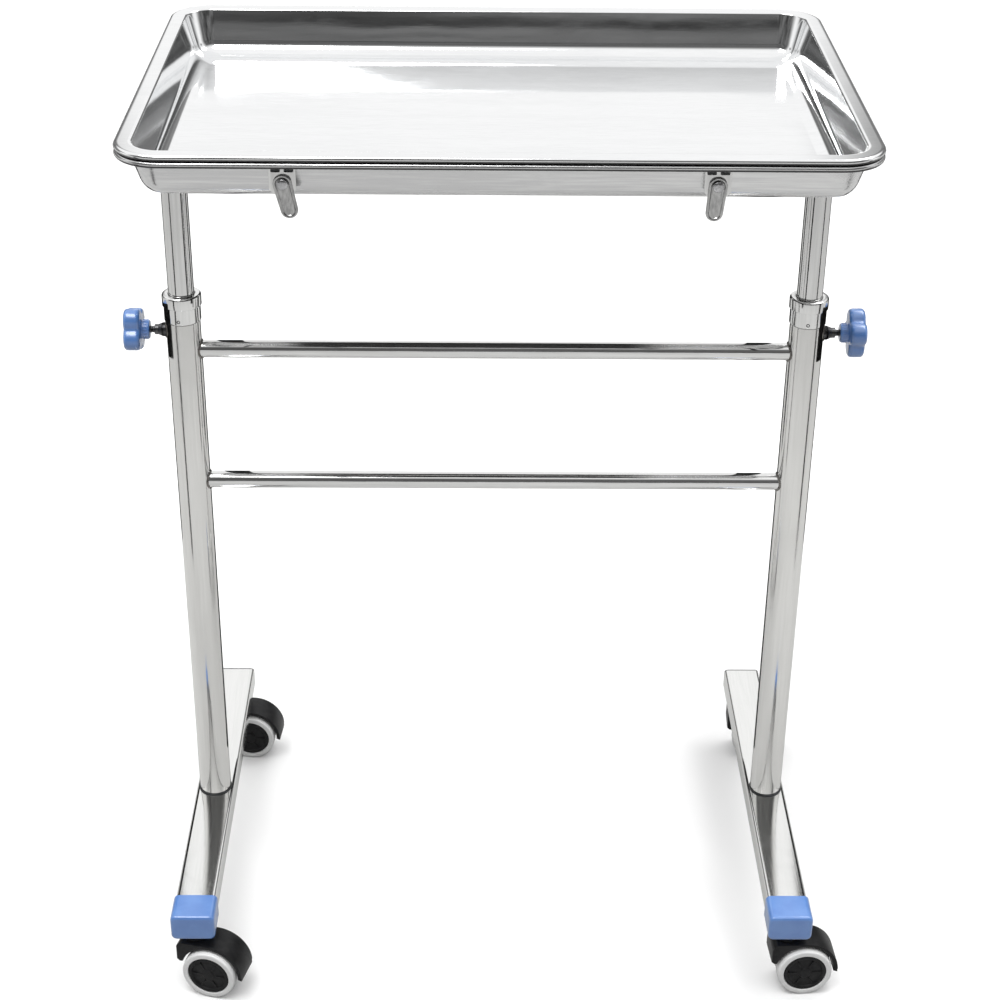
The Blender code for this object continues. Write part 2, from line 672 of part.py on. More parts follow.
def build_rails():
    middle_z = RAIL_TOP - RAIL_HEIGHT / 2
    front_end = RAIL_FRONT + CAP_WALL + GAP
    rear_end = RAIL_REAR - PLUG_FLANGE - GAP
    length = rear_end - front_end
    along = Matrix.Rotation(math.radians(90.0), 4, "X")
    for side, sign in SIDES.items():
        rail_x = sign * POST_SPACING / 2
        half_x, half_z = RAIL_WIDTH / 2, RAIL_HEIGHT / 2
        outline = rounded_rectangle(half_x, half_z, RAIL_CORNER_RADIUS, 4)
        inside = rounded_rectangle(half_x - RAIL_WALL, half_z - RAIL_WALL,
                                   RAIL_CORNER_RADIUS - RAIL_WALL, 3)
        rail = outlined("base_rail_" + side, outline, length, [inside])
        middle = Vector((rail_x, (front_end + rear_end) / 2, middle_z))
        place(rail, Matrix.Translation(middle) @ along)
        bolt_hole = rod("bolt_hole", POST_BOLT_RADIUS + GAP, (rail_x, 0, RAIL_UNDERSIDE - 0.01),
                        (rail_x, 0, RAIL_TOP + 0.01))
        cut(rail, bolt_hole)
        for stem_y in (CASTER_FRONT_Y, CASTER_REAR_Y):
            stem_hole = rod("stem_hole", STEM_RADIUS + GAP, (rail_x, stem_y, RAIL_UNDERSIDE - 0.01),
                            (rail_x, stem_y, RAIL_UNDERSIDE + 0.005))
            cut(rail, stem_hole)
        finish_piece(rail, "satin_steel")
        build_front_cap(side, rail_x, middle_z, front_end)
        build_rear_plug(side, rail_x, middle_z)
        build_post_bolt(side, rail_x)


def build_front_cap(side, rail_x, middle_z, rail_end):
    half_x = RAIL_WIDTH / 2 + CAP_WALL
    half_z = RAIL_HEIGHT / 2 + CAP_WALL
    cap = boxed("rail_cap_front_" + side, (rail_x - half_x, RAIL_FRONT, middle_z - half_z),
                (rail_x + half_x, RAIL_FRONT + CAP_LENGTH, middle_z + half_z), bevel=CAP_EDGE)
    # The rail's end enters the cap from behind
    mouth = rounded_rectangle(RAIL_WIDTH / 2 + GAP, RAIL_HEIGHT / 2 + GAP,
                              RAIL_CORNER_RADIUS + GAP, 3)
    depth = CAP_LENGTH + 0.01
    hollow = outlined("cap_hollow", mouth, depth, collection=CUTTERS)
    along = Matrix.Rotation(math.radians(90.0), 4, "X")
    place(hollow, Matrix.Translation((rail_x, rail_end - GAP + depth / 2, middle_z)) @ along)
    cut(cap, hollow)
    stem_hole = rod("stem_hole", STEM_RADIUS + GAP,
                    (rail_x, CASTER_FRONT_Y, RAIL_UNDERSIDE - 0.01),
                    (rail_x, CASTER_FRONT_Y, RAIL_UNDERSIDE + 0.001))
    cut(cap, stem_hole)
    finish_piece(cap, "blue_plastic")


def build_rear_plug(side, rail_x, middle_z):
    flange = outlined("rail_plug_rear_" + side,
                      rounded_rectangle(RAIL_WIDTH / 2, RAIL_HEIGHT / 2, RAIL_CORNER_RADIUS, 3),
                      PLUG_FLANGE)
    tongue_outline = rounded_rectangle(RAIL_WIDTH / 2 - RAIL_WALL - GAP,
                                       RAIL_HEIGHT / 2 - RAIL_WALL - GAP,
                                       PLUG_CORNER_RADIUS, 3)
    tongue_length = PLUG_LENGTH + PLUG_FLANGE / 2
    tongue = outlined("plug_tongue", tongue_outline, tongue_length, collection=CUTTERS)
    along = Matrix.Rotation(math.radians(90.0), 4, "X")
    flange_y = RAIL_REAR - PLUG_FLANGE / 2
    place(flange, Matrix.Translation((rail_x, flange_y, middle_z)) @ along)
    place(tongue, Matrix.Translation((rail_x, flange_y - tongue_length / 2, middle_z)) @ along)
    join(flange, tongue)
    finish_piece(flange, "dark_plastic")


def build_post_bolt(side, rail_x):
    head_top = RAIL_UNDERSIDE - GAP
    head_foot = head_top - POST_BOLT_HEAD
    shank_top = OUTER_POST_FOOT + POST_FLOOR + 0.003
    head_radius, chamfer = POST_BOLT_HEAD_RADIUS, POST_BOLT_CHAMFER
    profile = [(0.0, shank_top), (POST_BOLT_RADIUS - chamfer, shank_top),
               (POST_BOLT_RADIUS, shank_top - chamfer), (POST_BOLT_RADIUS, head_top),
               (head_radius, head_top), (head_radius, head_foot + chamfer),
               (head_radius - chamfer, head_foot), (0.0, head_foot)]
    bolt = turned("post_bolt_" + side, profile, SMALL_ROUND)
    place(bolt, Matrix.Translation((rail_x, 0.0, 0.0)))
    finish_piece(bolt, "hardware_steel")


# ---------------------------------------------------------------- casters

def hood_outline(inner_radius):
    """Side view of the hood, with the axle at the origin and the trailing side at +X.

    Its front side is upright below the swivel boss, its back follows the wheels.
    """
    front = -CASTER_TRAIL - HOOD_FRONT
    shoulder = HOOD_SHOULDER
    points = arc(0, 0, HOOD_RADIUS, -6, 92, 9)
    points += arc(front + shoulder, HOOD_RADIUS - shoulder, shoulder, 90, 180, 3)
    points.append((front, 0.0095))
    points.append((front + 0.0022, 0.0075))
    points += arc(0, 0, inner_radius, 161, -3, 14)
    return points


def make_hood_mesh():
    """The hood of a caster in its own frame: swivel axis on Z, trailing to +X."""
    upright = Matrix.Rotation(math.radians(90.0), 4, "X")
    to_axle = Matrix.Translation((CASTER_TRAIL, 0.0, WHEEL_RADIUS))
    fender = outlined("hood", hood_outline(HOOD_INNER_RADIUS), HOOD_WIDTH)
    place(fender, to_axle @ upright)

    web_outline = arc(0, 0, HOOD_INNER_RADIUS + 0.001, 12, 150, 9)
    web_outline += arc(0, 0, HOOD_WEB_EYE, 160, 380, 8)
    web = outlined("web", web_outline, HOOD_WEB, collection=CUTTERS)
    place(web, to_axle @ upright)
    join(fender, web)

    chamfer = SWIVEL_BOSS_CHAMFER
    boss_foot = WHEEL_RADIUS + HOOD_RADIUS - 0.0015
    boss_profile = [(0.0, HOOD_TOP), (SWIVEL_BOSS_RADIUS - chamfer, HOOD_TOP),
                    (SWIVEL_BOSS_RADIUS, HOOD_TOP - chamfer),
                    (SWIVEL_BOSS_RADIUS, boss_foot), (0.0, boss_foot)]
    boss = turned("swivel_boss", boss_profile, SMALL_ROUND, CUTTERS)
    join(fender, boss)

    socket = rod("socket", STEM_RADIUS + RUNNING_GAP, (0, 0, HOOD_TOP - SWIVEL_SOCKET_DEPTH),
                 (0, 0, HOOD_TOP + 0.01))
    cut(fender, socket)
    axle_hole = rod("axle_hole", AXLE_RADIUS + GAP, (CASTER_TRAIL, -0.02, WHEEL_RADIUS),
                    (CASTER_TRAIL, 0.02, WHEEL_RADIUS))
    cut(fender, axle_hole)
    return fender


def make_wheel_meshes():
    """Tread and hub of a wheel that lies on its axle along Z, outer face up at z = 0."""
    radius, width = WHEEL_RADIUS, WHEEL_WIDTH
    inner = HUB_RADIUS + GAP
    shoulder = TREAD_SHOULDER
    tread_profile = [(inner, 0.0), (radius - shoulder, 0.0), (radius, -shoulder),
                     (radius, -width + shoulder), (radius - shoulder, -width),
                     (inner, -width)]
    tread = turned("tread", tread_profile, MEDIUM_ROUND)
    bore = AXLE_RADIUS + RUNNING_GAP
    chamfer = HUB_CHAMFER
    hub_profile = [(0.0, 0.0), (HUB_RADIUS - chamfer, 0.0), (HUB_RADIUS, -chamfer),
                   (HUB_RADIUS, -width), (bore, -width), (bore, -HUB_FACE), (0.0, -HUB_FACE)]
    hub = turned("hub", hub_profile, SMALL_ROUND)
    return tread, hub


def build_casters():
    hood = make_hood_mesh()
    tread, hub = make_wheel_meshes()
    axle_half = WHEEL_SPREAD / 2 - HUB_FACE - RUNNING_GAP
    axle_profile = [(0.0, axle_half), (AXLE_RADIUS, axle_half), (AXLE_RADIUS, -axle_half),
                    (0.0, -axle_half)]
    axle = turned("axle", axle_profile, SMALL_ROUND)
    stem = make_stem()
    sources = (hood, tread, hub, axle, stem)

    for corner, yaw in CASTER_YAW.items():
        end, side = corner.split("_")
        stem_x = SIDES[side] * POST_SPACING / 2
        stem_y = CASTER_FRONT_Y if end == "front" else CASTER_REAR_Y
        swivel = Vector((stem_x, stem_y, 0.0))
        turn = Matrix.Translation(swivel) @ Matrix.Rotation(yaw, 4, "Z")
        prefix = "caster_" + corner + "_"

        place_copy(stem, prefix + "stem", Matrix.Translation(swivel), "hardware_steel")
        place_copy(hood, prefix + "hood", turn, "caster_black", swivel)
        to_axle = Matrix.Translation((CASTER_TRAIL, 0.0, WHEEL_RADIUS))
        axle_centre = turn @ to_axle @ Vector()
        face_front = Matrix.Rotation(math.radians(90.0), 4, "X")
        face_back = Matrix.Rotation(math.radians(-90.0), 4, "X")
        place_copy(axle, prefix + "axle", turn @ to_axle @ face_front, "hardware_steel",
                   axle_centre)
        outer_face = Matrix.Translation((0.0, 0.0, WHEEL_SPREAD / 2))
        for letter, facing in (("a", face_front), ("b", face_back)):
            pose = turn @ to_axle @ facing @ outer_face
            place_copy(tread, prefix + "tread_" + letter, pose, "tread_white", axle_centre)
            place_copy(hub, prefix + "hub_" + letter, pose, "caster_black", axle_centre)

    for source in sources:
        bpy.data.objects.remove(source)


def make_stem():
    """Swivel pin of a caster: pin, flange, shank and the nut inside the rail.

    All four flanges stop below the front caps' lower skin, so that one size fits every
    corner.
    """
    cap_skin = CAP_WALL
    flange_top = RAIL_UNDERSIDE - cap_skin - GAP
    flange_low = HOOD_TOP + RUNNING_GAP
    pin_end = HOOD_TOP - SWIVEL_SOCKET_DEPTH + RUNNING_GAP
    nut_low = RAIL_UNDERSIDE + RAIL_WALL + GAP
    nut_top = nut_low + STEM_NUT_HEIGHT
    shank_top = nut_top + STEM_END
    profile = [(0.0, shank_top), (STEM_RADIUS, shank_top), (STEM_RADIUS, nut_top),
               (STEM_NUT_RADIUS, nut_top), (STEM_NUT_RADIUS, nut_low), (STEM_RADIUS, nut_low),
               (STEM_RADIUS, flange_top), (STEM_FLANGE_RADIUS, flange_top),
               (STEM_FLANGE_RADIUS, flange_low), (STEM_RADIUS, flange_low),
               (STEM_RADIUS, pin_end), (0.0, pin_end)]
    return turned("stem", profile, SMALL_ROUND - 4)


def place_copy(source, name, matrix, finish, pivot=None):
    copy = link_mesh(name, source.data.copy())
    place(copy, matrix)
    return finish_piece(copy, finish, pivot)


# ---------------------------------------------------------------- the whole cart

def main():
    build_rails()
    build_posts()
    build_crossbars()
    build_clamps()
    build_post_brackets()
    build_tray_and_holder()
    build_latches()
    build_casters()


main()
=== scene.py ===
"""Finished look of the instrument cart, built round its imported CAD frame.

X runs across the cart, -Y is its front and +Z is up. All lengths are in metres.
"""

import logging
import math
from collections.abc import Callable, Sequence
from dataclasses import dataclass, field
from enum import Enum

import bmesh
import bpy
from mathutils import Matrix, Vector


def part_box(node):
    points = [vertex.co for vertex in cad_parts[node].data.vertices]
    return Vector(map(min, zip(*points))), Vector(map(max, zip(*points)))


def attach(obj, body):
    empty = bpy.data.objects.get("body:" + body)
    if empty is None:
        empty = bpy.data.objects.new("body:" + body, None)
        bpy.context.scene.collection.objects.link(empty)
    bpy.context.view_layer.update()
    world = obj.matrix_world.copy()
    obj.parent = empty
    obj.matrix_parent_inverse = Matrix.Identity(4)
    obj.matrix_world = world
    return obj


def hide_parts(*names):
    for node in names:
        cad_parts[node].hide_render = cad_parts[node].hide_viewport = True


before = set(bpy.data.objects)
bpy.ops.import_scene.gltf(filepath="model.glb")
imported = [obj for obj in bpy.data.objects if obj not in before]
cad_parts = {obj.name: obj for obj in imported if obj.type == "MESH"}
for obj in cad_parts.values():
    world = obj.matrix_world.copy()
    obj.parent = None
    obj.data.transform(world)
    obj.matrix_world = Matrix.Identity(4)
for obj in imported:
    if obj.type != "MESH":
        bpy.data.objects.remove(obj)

LOG = logging.getLogger("instrument_cart")

PAN_BEAD = 0.0021           # radius of the rolled edge of both pans
PAN_CORNER = 0.031          # radius of their corners, at the rim
UPRIGHT = Matrix.Rotation(math.radians(90.0), 4, "X")

Point2 = tuple[float, float]
Ring = list[Vector]


class Side(Enum):
    """The two sides of the cart, with the sign of X on each."""

    LEFT = -1
    RIGHT = 1

    @property
    def label(self) -> str:
        """Name of the side as the frame's nodes spell it."""
        return self.name.lower()


class End(Enum):
    """The two ends of a base rail."""

    FRONT = "front"
    REAR = "rear"


class Face(Enum):
    """The two wheels of a caster, by the letter of their nodes and where they face."""

    FRONT = "a"
    BACK = "b"


# ------------------------------------------------------------------ shader node groups

@dataclass
class NodeNet:
    """A node tree with short ways to add and link its nodes."""

    tree: bpy.types.NodeTree

    def add(self, kind: str, **settings: object) -> bpy.types.Node:
        """Add a node.

        Args:
            kind: Blender's type name of the node.
            **settings: properties of the node to set.

        Returns:
            The new node.
        """
        node = self.tree.nodes.new(kind)
        for key, value in settings.items():
            setattr(node, key, value)
        return node

    def feed(self, socket: bpy.types.NodeSocket, source: object) -> None:
        """Link a socket from another one, or set its value.

        Args:
            socket: the input to feed.
            source: an output socket, or a plain value.
        """
        if isinstance(source, bpy.types.NodeSocket):
            self.tree.links.new(source, socket)
        else:
            socket.default_value = source

    def make(self, kind: str, inputs: dict[str | int, object],
             **settings: object) -> bpy.types.NodeSocket:
        """Add a node, feed its inputs and give its first output.

        Args:
            kind: Blender's type name of the node.
            inputs: what feeds each input, by its name or number.
            **settings: properties of the node to set.

        Returns:
            The node's first output.
        """
        node = self.add(kind, **settings)
        for key, source in inputs.items():
            self.feed(node.inputs[key], source)
        return node.outputs[0]

    def math(self, operation: str, first: object, second: object = 0.0) -> bpy.types.NodeSocket:
        """Join two values by a sum.

        Args:
            operation: name of the sum.
            first: first value or socket.
            second: second value or socket.

        Returns:
            The socket with the result.
        """
        return self.make("ShaderNodeMath", {0: first, 1: second}, operation=operation)

    def scaled(self, vector: object, factors: object) -> bpy.types.NodeSocket:
        """A vector with each of its parts multiplied by a factor."""
        return self.make("ShaderNodeVectorMath", {0: vector, 1: factors}, operation="MULTIPLY")

    def parts(self, vector: object) -> bpy.types.NodeOutputs:
        """The three parts of a vector."""
        node = self.add("ShaderNodeSeparateXYZ")
        self.feed(node.inputs[0], vector)
        return node.outputs

    def blend(self, factor: object, first: object, second: object) -> bpy.types.NodeSocket:
        """Mix two colours.

        Args:
            factor: share of the second colour.
            first: colour at 0.
            second: colour at 1.

        Returns:
            The mixed colour's socket.
        """
        node = self.add("ShaderNodeMix", data_type="RGBA")
        self.feed(node.inputs[0], factor)
        self.feed(node.inputs[6], first)
        self.feed(node.inputs[7], second)
        return node.outputs[2]

    def span(self, value: object, low: float, high: float, to_low: float,
             to_high: float) -> bpy.types.NodeSocket:
        """Carry a value from one range to another, smoothly and held at its ends.

        Args:
            value: the value to carry over.
            low: start of its range.
            high: end of its range.
            to_low: result at the start.
            to_high: result at the end.

        Returns:
            The socket with the result.
        """
        ends = dict(enumerate((value, low, high, to_low, to_high)))
        return self.make("ShaderNodeMapRange", ends, interpolation_type="SMOOTHSTEP")

    def noise(self, vector: object, scale: object, detail: float, roughness: float = 0.5,
              distortion: float = 0.0) -> bpy.types.NodeSocket:
        """Add a fractal noise.

        Args:
            vector: where the noise is read.
            scale: its scale.
            detail: its octaves.
            roughness: how strong the finer octaves are.
            distortion: how far it is pulled about.

        Returns:
            The noise's value socket.
        """
        return self.make("ShaderNodeTexNoise", {
            "Vector": vector, "Scale": scale, "Detail": detail, "Roughness": roughness,
            "Distortion": distortion})


def new_group(name: str, inputs: Sequence[tuple[str, str, object]],
              outputs: Sequence[str]) -> tuple[NodeNet, dict, bpy.types.Node]:
    """Start a shader node group with named sockets.

    Args:
        name: name of the group.
        inputs: name, socket type and default value of each input.
        outputs: names of the value outputs.

    Returns:
        The group's net, its input sockets by name and its output node.
    """
    tree = bpy.data.node_groups.new(name, "ShaderNodeTree")
    for label, kind, default in inputs:
        socket = tree.interface.new_socket(label, in_out="INPUT", socket_type=kind)
        if default is not None:
            socket.default_value = default
    for label in outputs:
        tree.interface.new_socket(label, in_out="OUTPUT", socket_type="NodeSocketFloat")
    net = NodeNet(tree)
    source = net.add("NodeGroupInput")
    return net, {s.name: s for s in source.outputs if s.name}, net.add("NodeGroupOutput")


def make_grain_group() -> bpy.types.NodeTree:
    """Drawn or polished grain: fine lines stretched along a direction.

    Returns:
        The group, with outputs Shade and Height.
    """
    net, given, out = new_group("metal_grain", [
        ("Vector", "NodeSocketVector", None),
        ("Stretch", "NodeSocketVector", (1.0, 1.0, 1.0)),
        ("Scale", "NodeSocketFloat", 400.0),
    ], ["Shade", "Height"])
    drawn = net.scaled(given["Vector"], given["Stretch"])
    fine = net.noise(drawn, given["Scale"], 3.0, 0.6)
    broad = net.noise(drawn, net.math("MULTIPLY", given["Scale"], 0.13), 2.0, 0.5)
    both = net.math("ADD", net.math("MULTIPLY", fine, 0.55), net.math("MULTIPLY", broad, 0.45))
    net.feed(out.inputs["Shade"], net.span(both, 0.36, 0.64, 0.0, 1.0))
    net.feed(out.inputs["Height"], fine)
    return net.tree


def make_handling_group() -> bpy.types.NodeTree:
    """Marks of handling: soft smudges, and sparse fine scratches that cross them.

    Returns:
        The group, with outputs Smudge and Scratch.
    """
    net, given, out = new_group("handling_marks", [
        ("Vector", "NodeSocketVector", None),
        ("Smudge Scale", "NodeSocketFloat", 18.0),
        ("Scratch Scale", "NodeSocketFloat", 90.0),
    ], ["Smudge", "Scratch"])
    cloud = net.noise(given["Vector"], given["Smudge Scale"], 4.0, 0.62, 0.8)
    net.feed(out.inputs["Smudge"], net.span(cloud, 0.45, 0.72, 0.0, 1.0))
    skewed = net.scaled(given["Vector"], (1.0, 9.0, 5.0))
    lines = net.noise(skewed, given["Scratch Scale"], 5.0, 0.75, 1.6)
    net.feed(out.inputs["Scratch"], net.span(lines, 0.66, 0.74, 0.0, 1.0))
    return net.tree


def make_dust_group() -> bpy.types.NodeTree:
    """Dust that thickens towards the floor, in patches.

    Returns:
        The group, with output Mask.
    """
    net, given, out = new_group("floor_dust", [
        ("Vector", "NodeSocketVector", None),
        ("Top", "NodeSocketFloat", 0.09),
        ("Amount", "NodeSocketFloat", 0.5),
        ("Scale", "NodeSocketFloat", 160.0),
    ], ["Mask"])
    rise = net.math("DIVIDE", net.parts(given["Vector"])[2], given["Top"])
    low = net.span(rise, 0.0, 1.0, 1.0, 0.0)
    patch = net.span(net.noise(given["Vector"], given["Scale"], 5.0, 0.65), 0.4, 0.7, 0.1, 1.0)
    mask = net.math("MULTIPLY", net.math("MULTIPLY", low, patch), given["Amount"])
    net.feed(out.inputs["Mask"], mask)
    return net.tree


def make_pan_shade_group() -> bpy.types.NodeTree:
    """Where a pressed pan gets painted shade: under its rolled edge, and mid-way under its
    floor.

    Returns:
        The group, with outputs Edge and Underside.
    """
    net, given, out = new_group("pan_painted_shade", [
        ("Vector", "NodeSocketVector", None),
        ("Half", "NodeSocketVector", (0.27, 0.17, 0.0)),
        ("Corner", "NodeSocketFloat", PAN_CORNER),
        ("Width", "NodeSocketFloat", 0.0046),
        ("Edge Height", "NodeSocketFloat", 0.68),
        ("Floor Height", "NodeSocketFloat", 0.65),
    ], ["Edge", "Underside"])
    place, halves = net.parts(given["Vector"]), net.parts(given["Half"])
    squares = []
    for axis in (0, 1):
        core = net.math("SUBTRACT", halves[axis], given["Corner"])
        past = net.math("SUBTRACT", net.math("ABSOLUTE", place[axis]), core)
        squares.append(net.math("POWER", net.math("MAXIMUM", past, 0.0), 2.0))
    reach = net.math("SQRT", net.math("ADD", *squares))
    inset = net.math("SUBTRACT", given["Corner"], reach)
    beside = net.span(net.math("SUBTRACT", inset, given["Width"]), 0.0, 0.0004, 1.0, 0.0)
    height = net.math("SUBTRACT", place[2], given["Edge Height"])
    net.feed(out.inputs["Edge"],
             net.math("MULTIPLY", beside, net.span(height, -0.0006, 0.0002, 1.0, 0.0)))
    rise = net.math("ABSOLUTE", net.math("SUBTRACT", place[2], given["Floor Height"]))
    under = net.span(rise, 0.0004, 0.0007, 1.0, 0.0)
    for sign, start, end in ((-1.0, 0.150, 0.190), (1.0, 0.110, 0.160)):
        along = net.math("MULTIPLY", place[0], sign)
        under = net.math("MULTIPLY", under, net.span(along, start, end, 1.0, 0.0))
    net.feed(out.inputs["Underside"], under)
    return net.tree


@dataclass
class EffectGroups:
    """The shared effects, built once for every finish."""

    grain: bpy.types.NodeTree = field(default_factory=make_grain_group)
    handling: bpy.types.NodeTree = field(default_factory=make_handling_group)
    dust: bpy.types.NodeTree = field(default_factory=make_dust_group)
    pan: bpy.types.NodeTree = field(default_factory=make_pan_shade_group)

    def place(self, net: NodeNet, group: bpy.types.NodeTree, vector: bpy.types.NodeSocket,
              **values: object) -> bpy.types.Node:
        """Put an effect in a material with its own values.

        Args:
            net: the material's net.
            group: the effect.
            vector: where its pattern is read.
            **values: its inputs, with underscores for spaces.

        Returns:
            The group's node.
        """
        node = net.add("ShaderNodeGroup", node_tree=group)
        net.feed(node.inputs["Vector"], vector)
        for key, value in values.items():
            node.inputs[key.replace("_", " ")].default_value = value
        return node


# ------------------------------------------------------------------ finishes

@dataclass(frozen=True)
class MetalFinish:
    """A steel finish: its colours, polish, grain and handling, and painted shade on a pan."""

    name: str
    slot: str
    colour: tuple[float, float, float]
    dull: tuple[float, float, float]
    roughness: tuple[float, float]
    stretch: tuple[float, float, float]
    grain_scale: float = 420.0
    bump: float = 0.02
    smudge_scale: float = 18.0
    scratch: float = 0.25
    wave: float = 0.0
    wave_scale: float = 9.0
    dust: float = 0.0
    # Node of the pan whose rolled edge and floor underside get painted shade, or none
    pan: str = ""

    def build(self, effects: EffectGroups) -> bpy.types.Material:
        """Make the material.

        Args:
            effects: the shared effects.

        Returns:
            The material.
        """
        material, net, shader, place = start_material(self.name)
        grain = effects.place(net, effects.grain, place, Stretch=self.stretch,
                              Scale=self.grain_scale)
        marks = effects.place(net, effects.handling, place, Smudge_Scale=self.smudge_scale,
                              Scratch_Scale=110.0)
        dust = effects.place(net, effects.dust, place, Amount=self.dust)
        colour = net.blend(grain.outputs["Shade"], (*self.dull, 1.0), (*self.colour, 1.0))
        worn = net.math("MULTIPLY", marks.outputs["Smudge"], 0.35)
        colour = net.blend(worn, colour, (*self.dull, 1.0))
        colour = net.blend(dust.outputs["Mask"], colour, (0.36, 0.35, 0.33, 1.0))
        # Painted shade: the lower half of the pan's rolled edge, and a patch under its floor
        # that the crossbars reflect, go near black
        if self.pan:
            low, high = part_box(self.pan)
            dull = effects.place(net, effects.pan, place, Half=(high.x, high.y, 0.0),
                                 Edge_Height=high.z - PAN_BEAD, Floor_Height=low.z)
            mask = net.math("MAXIMUM", dull.outputs["Edge"], dull.outputs["Underside"])
            colour = net.blend(net.math("MULTIPLY", mask, 0.93), colour,
                               (0.012, 0.012, 0.012, 1.0))
        net.feed(shader.inputs["Base Color"], colour)
        low, high = self.roughness
        polish = net.math("ADD", net.math("MULTIPLY", grain.outputs["Shade"], 0.4),
                          net.math("MULTIPLY", marks.outputs["Smudge"], 0.6))
        rough = net.span(polish, 0.0, 1.0, low, high)
        scratched = net.math("MULTIPLY", marks.outputs["Scratch"], 0.5 * self.scratch)
        rough = net.math("ADD", rough, scratched)
        rough = net.math("ADD", rough, net.math("MULTIPLY", dust.outputs["Mask"], 0.4))
        net.feed(shader.inputs["Roughness"], rough)
        shader.inputs["Metallic"].default_value = 1.0
        height = net.math("MULTIPLY", grain.outputs["Height"], self.bump)
        swell = net.noise(place, self.wave_scale, 1.0)
        height = net.math("ADD", height, net.math("MULTIPLY", swell, self.wave))
        add_bump(net, shader, height, 0.002)
        return material


@dataclass(frozen=True)
class MouldedFinish:
    """A moulded plastic or rubber: its colours, gloss, texture and dust."""

    name: str
    slot: str
    colour: tuple[float, float, float]
    faded: tuple[float, float, float]
    roughness: tuple[float, float]
    texture_scale: float = 1400.0
    bump: float = 0.05
    coat: float = 0.0
    shine: float = 0.5
    dust: float = 0.0
    dust_colour: tuple[float, float, float] = (0.42, 0.41, 0.39)
    scratch: float = 0.3

    def build(self, effects: EffectGroups) -> bpy.types.Material:
        """Make the material.

        Args:
            effects: the shared effects.

        Returns:
            The material.
        """
        material, net, shader, place = start_material(self.name)
        marks = effects.place(net, effects.handling, place, Smudge_Scale=55.0,
                              Scratch_Scale=140.0)
        dust = effects.place(net, effects.dust, place, Amount=self.dust, Scale=240.0)
        cloud = net.span(net.noise(place, 70.0, 3.0), 0.35, 0.65, 0.0, 1.0)
        colour = net.blend(cloud, (*self.colour, 1.0), (*self.faded, 1.0))
        scuffed = net.math("MULTIPLY", marks.outputs["Scratch"], self.scratch)
        colour = net.blend(scuffed, colour, (*self.faded, 1.0))
        colour = net.blend(dust.outputs["Mask"], colour, (*self.dust_colour, 1.0))
        net.feed(shader.inputs["Base Color"], colour)
        low, high = self.roughness
        rough = net.span(marks.outputs["Smudge"], 0.0, 1.0, low, high)
        rough = net.math("ADD", rough, net.math("MULTIPLY", scuffed, 0.3))
        net.feed(shader.inputs["Roughness"], rough)
        shader.inputs["Specular IOR Level"].default_value = self.shine
        shader.inputs["Coat Weight"].default_value = self.coat
        shader.inputs["Coat Roughness"].default_value = 0.24
        shader.inputs["Coat IOR"].default_value = 1.8
        pores = net.noise(place, self.texture_scale, 2.0, 0.6)
        add_bump(net, shader, net.math("MULTIPLY", pores, self.bump), 0.001)
        return material


def start_material(name: str) -> tuple[bpy.types.Material, NodeNet, bpy.types.Node,
                                       bpy.types.NodeSocket]:
    """Start a material with its shader and its Object coordinates.

    Args:
        name: name of the material.

    Returns:
        The material, its net, its Principled shader and the coordinates' socket.
    """
    material = bpy.data.materials.new(name)
    material.use_nodes = True
    net = NodeNet(material.node_tree)
    shader = material.node_tree.nodes["Principled BSDF"]
    place = net.add("ShaderNodeTexCoord").outputs["Object"]
    return material, net, shader, place


def add_bump(net: NodeNet, shader: bpy.types.Node, height: bpy.types.NodeSocket,
             distance: float) -> None:
    """Feed a height to the shader's normal.

    Args:
        net: the material's net.
        shader: the Principled shader.
        height: socket with the height.
        distance: depth of the height at 1.
    """
    bump = net.add("ShaderNodeBump")
    bump.inputs["Distance"].default_value = distance
    net.feed(bump.inputs["Height"], height)
    net.feed(shader.inputs["Normal"], bump.outputs["Normal"])


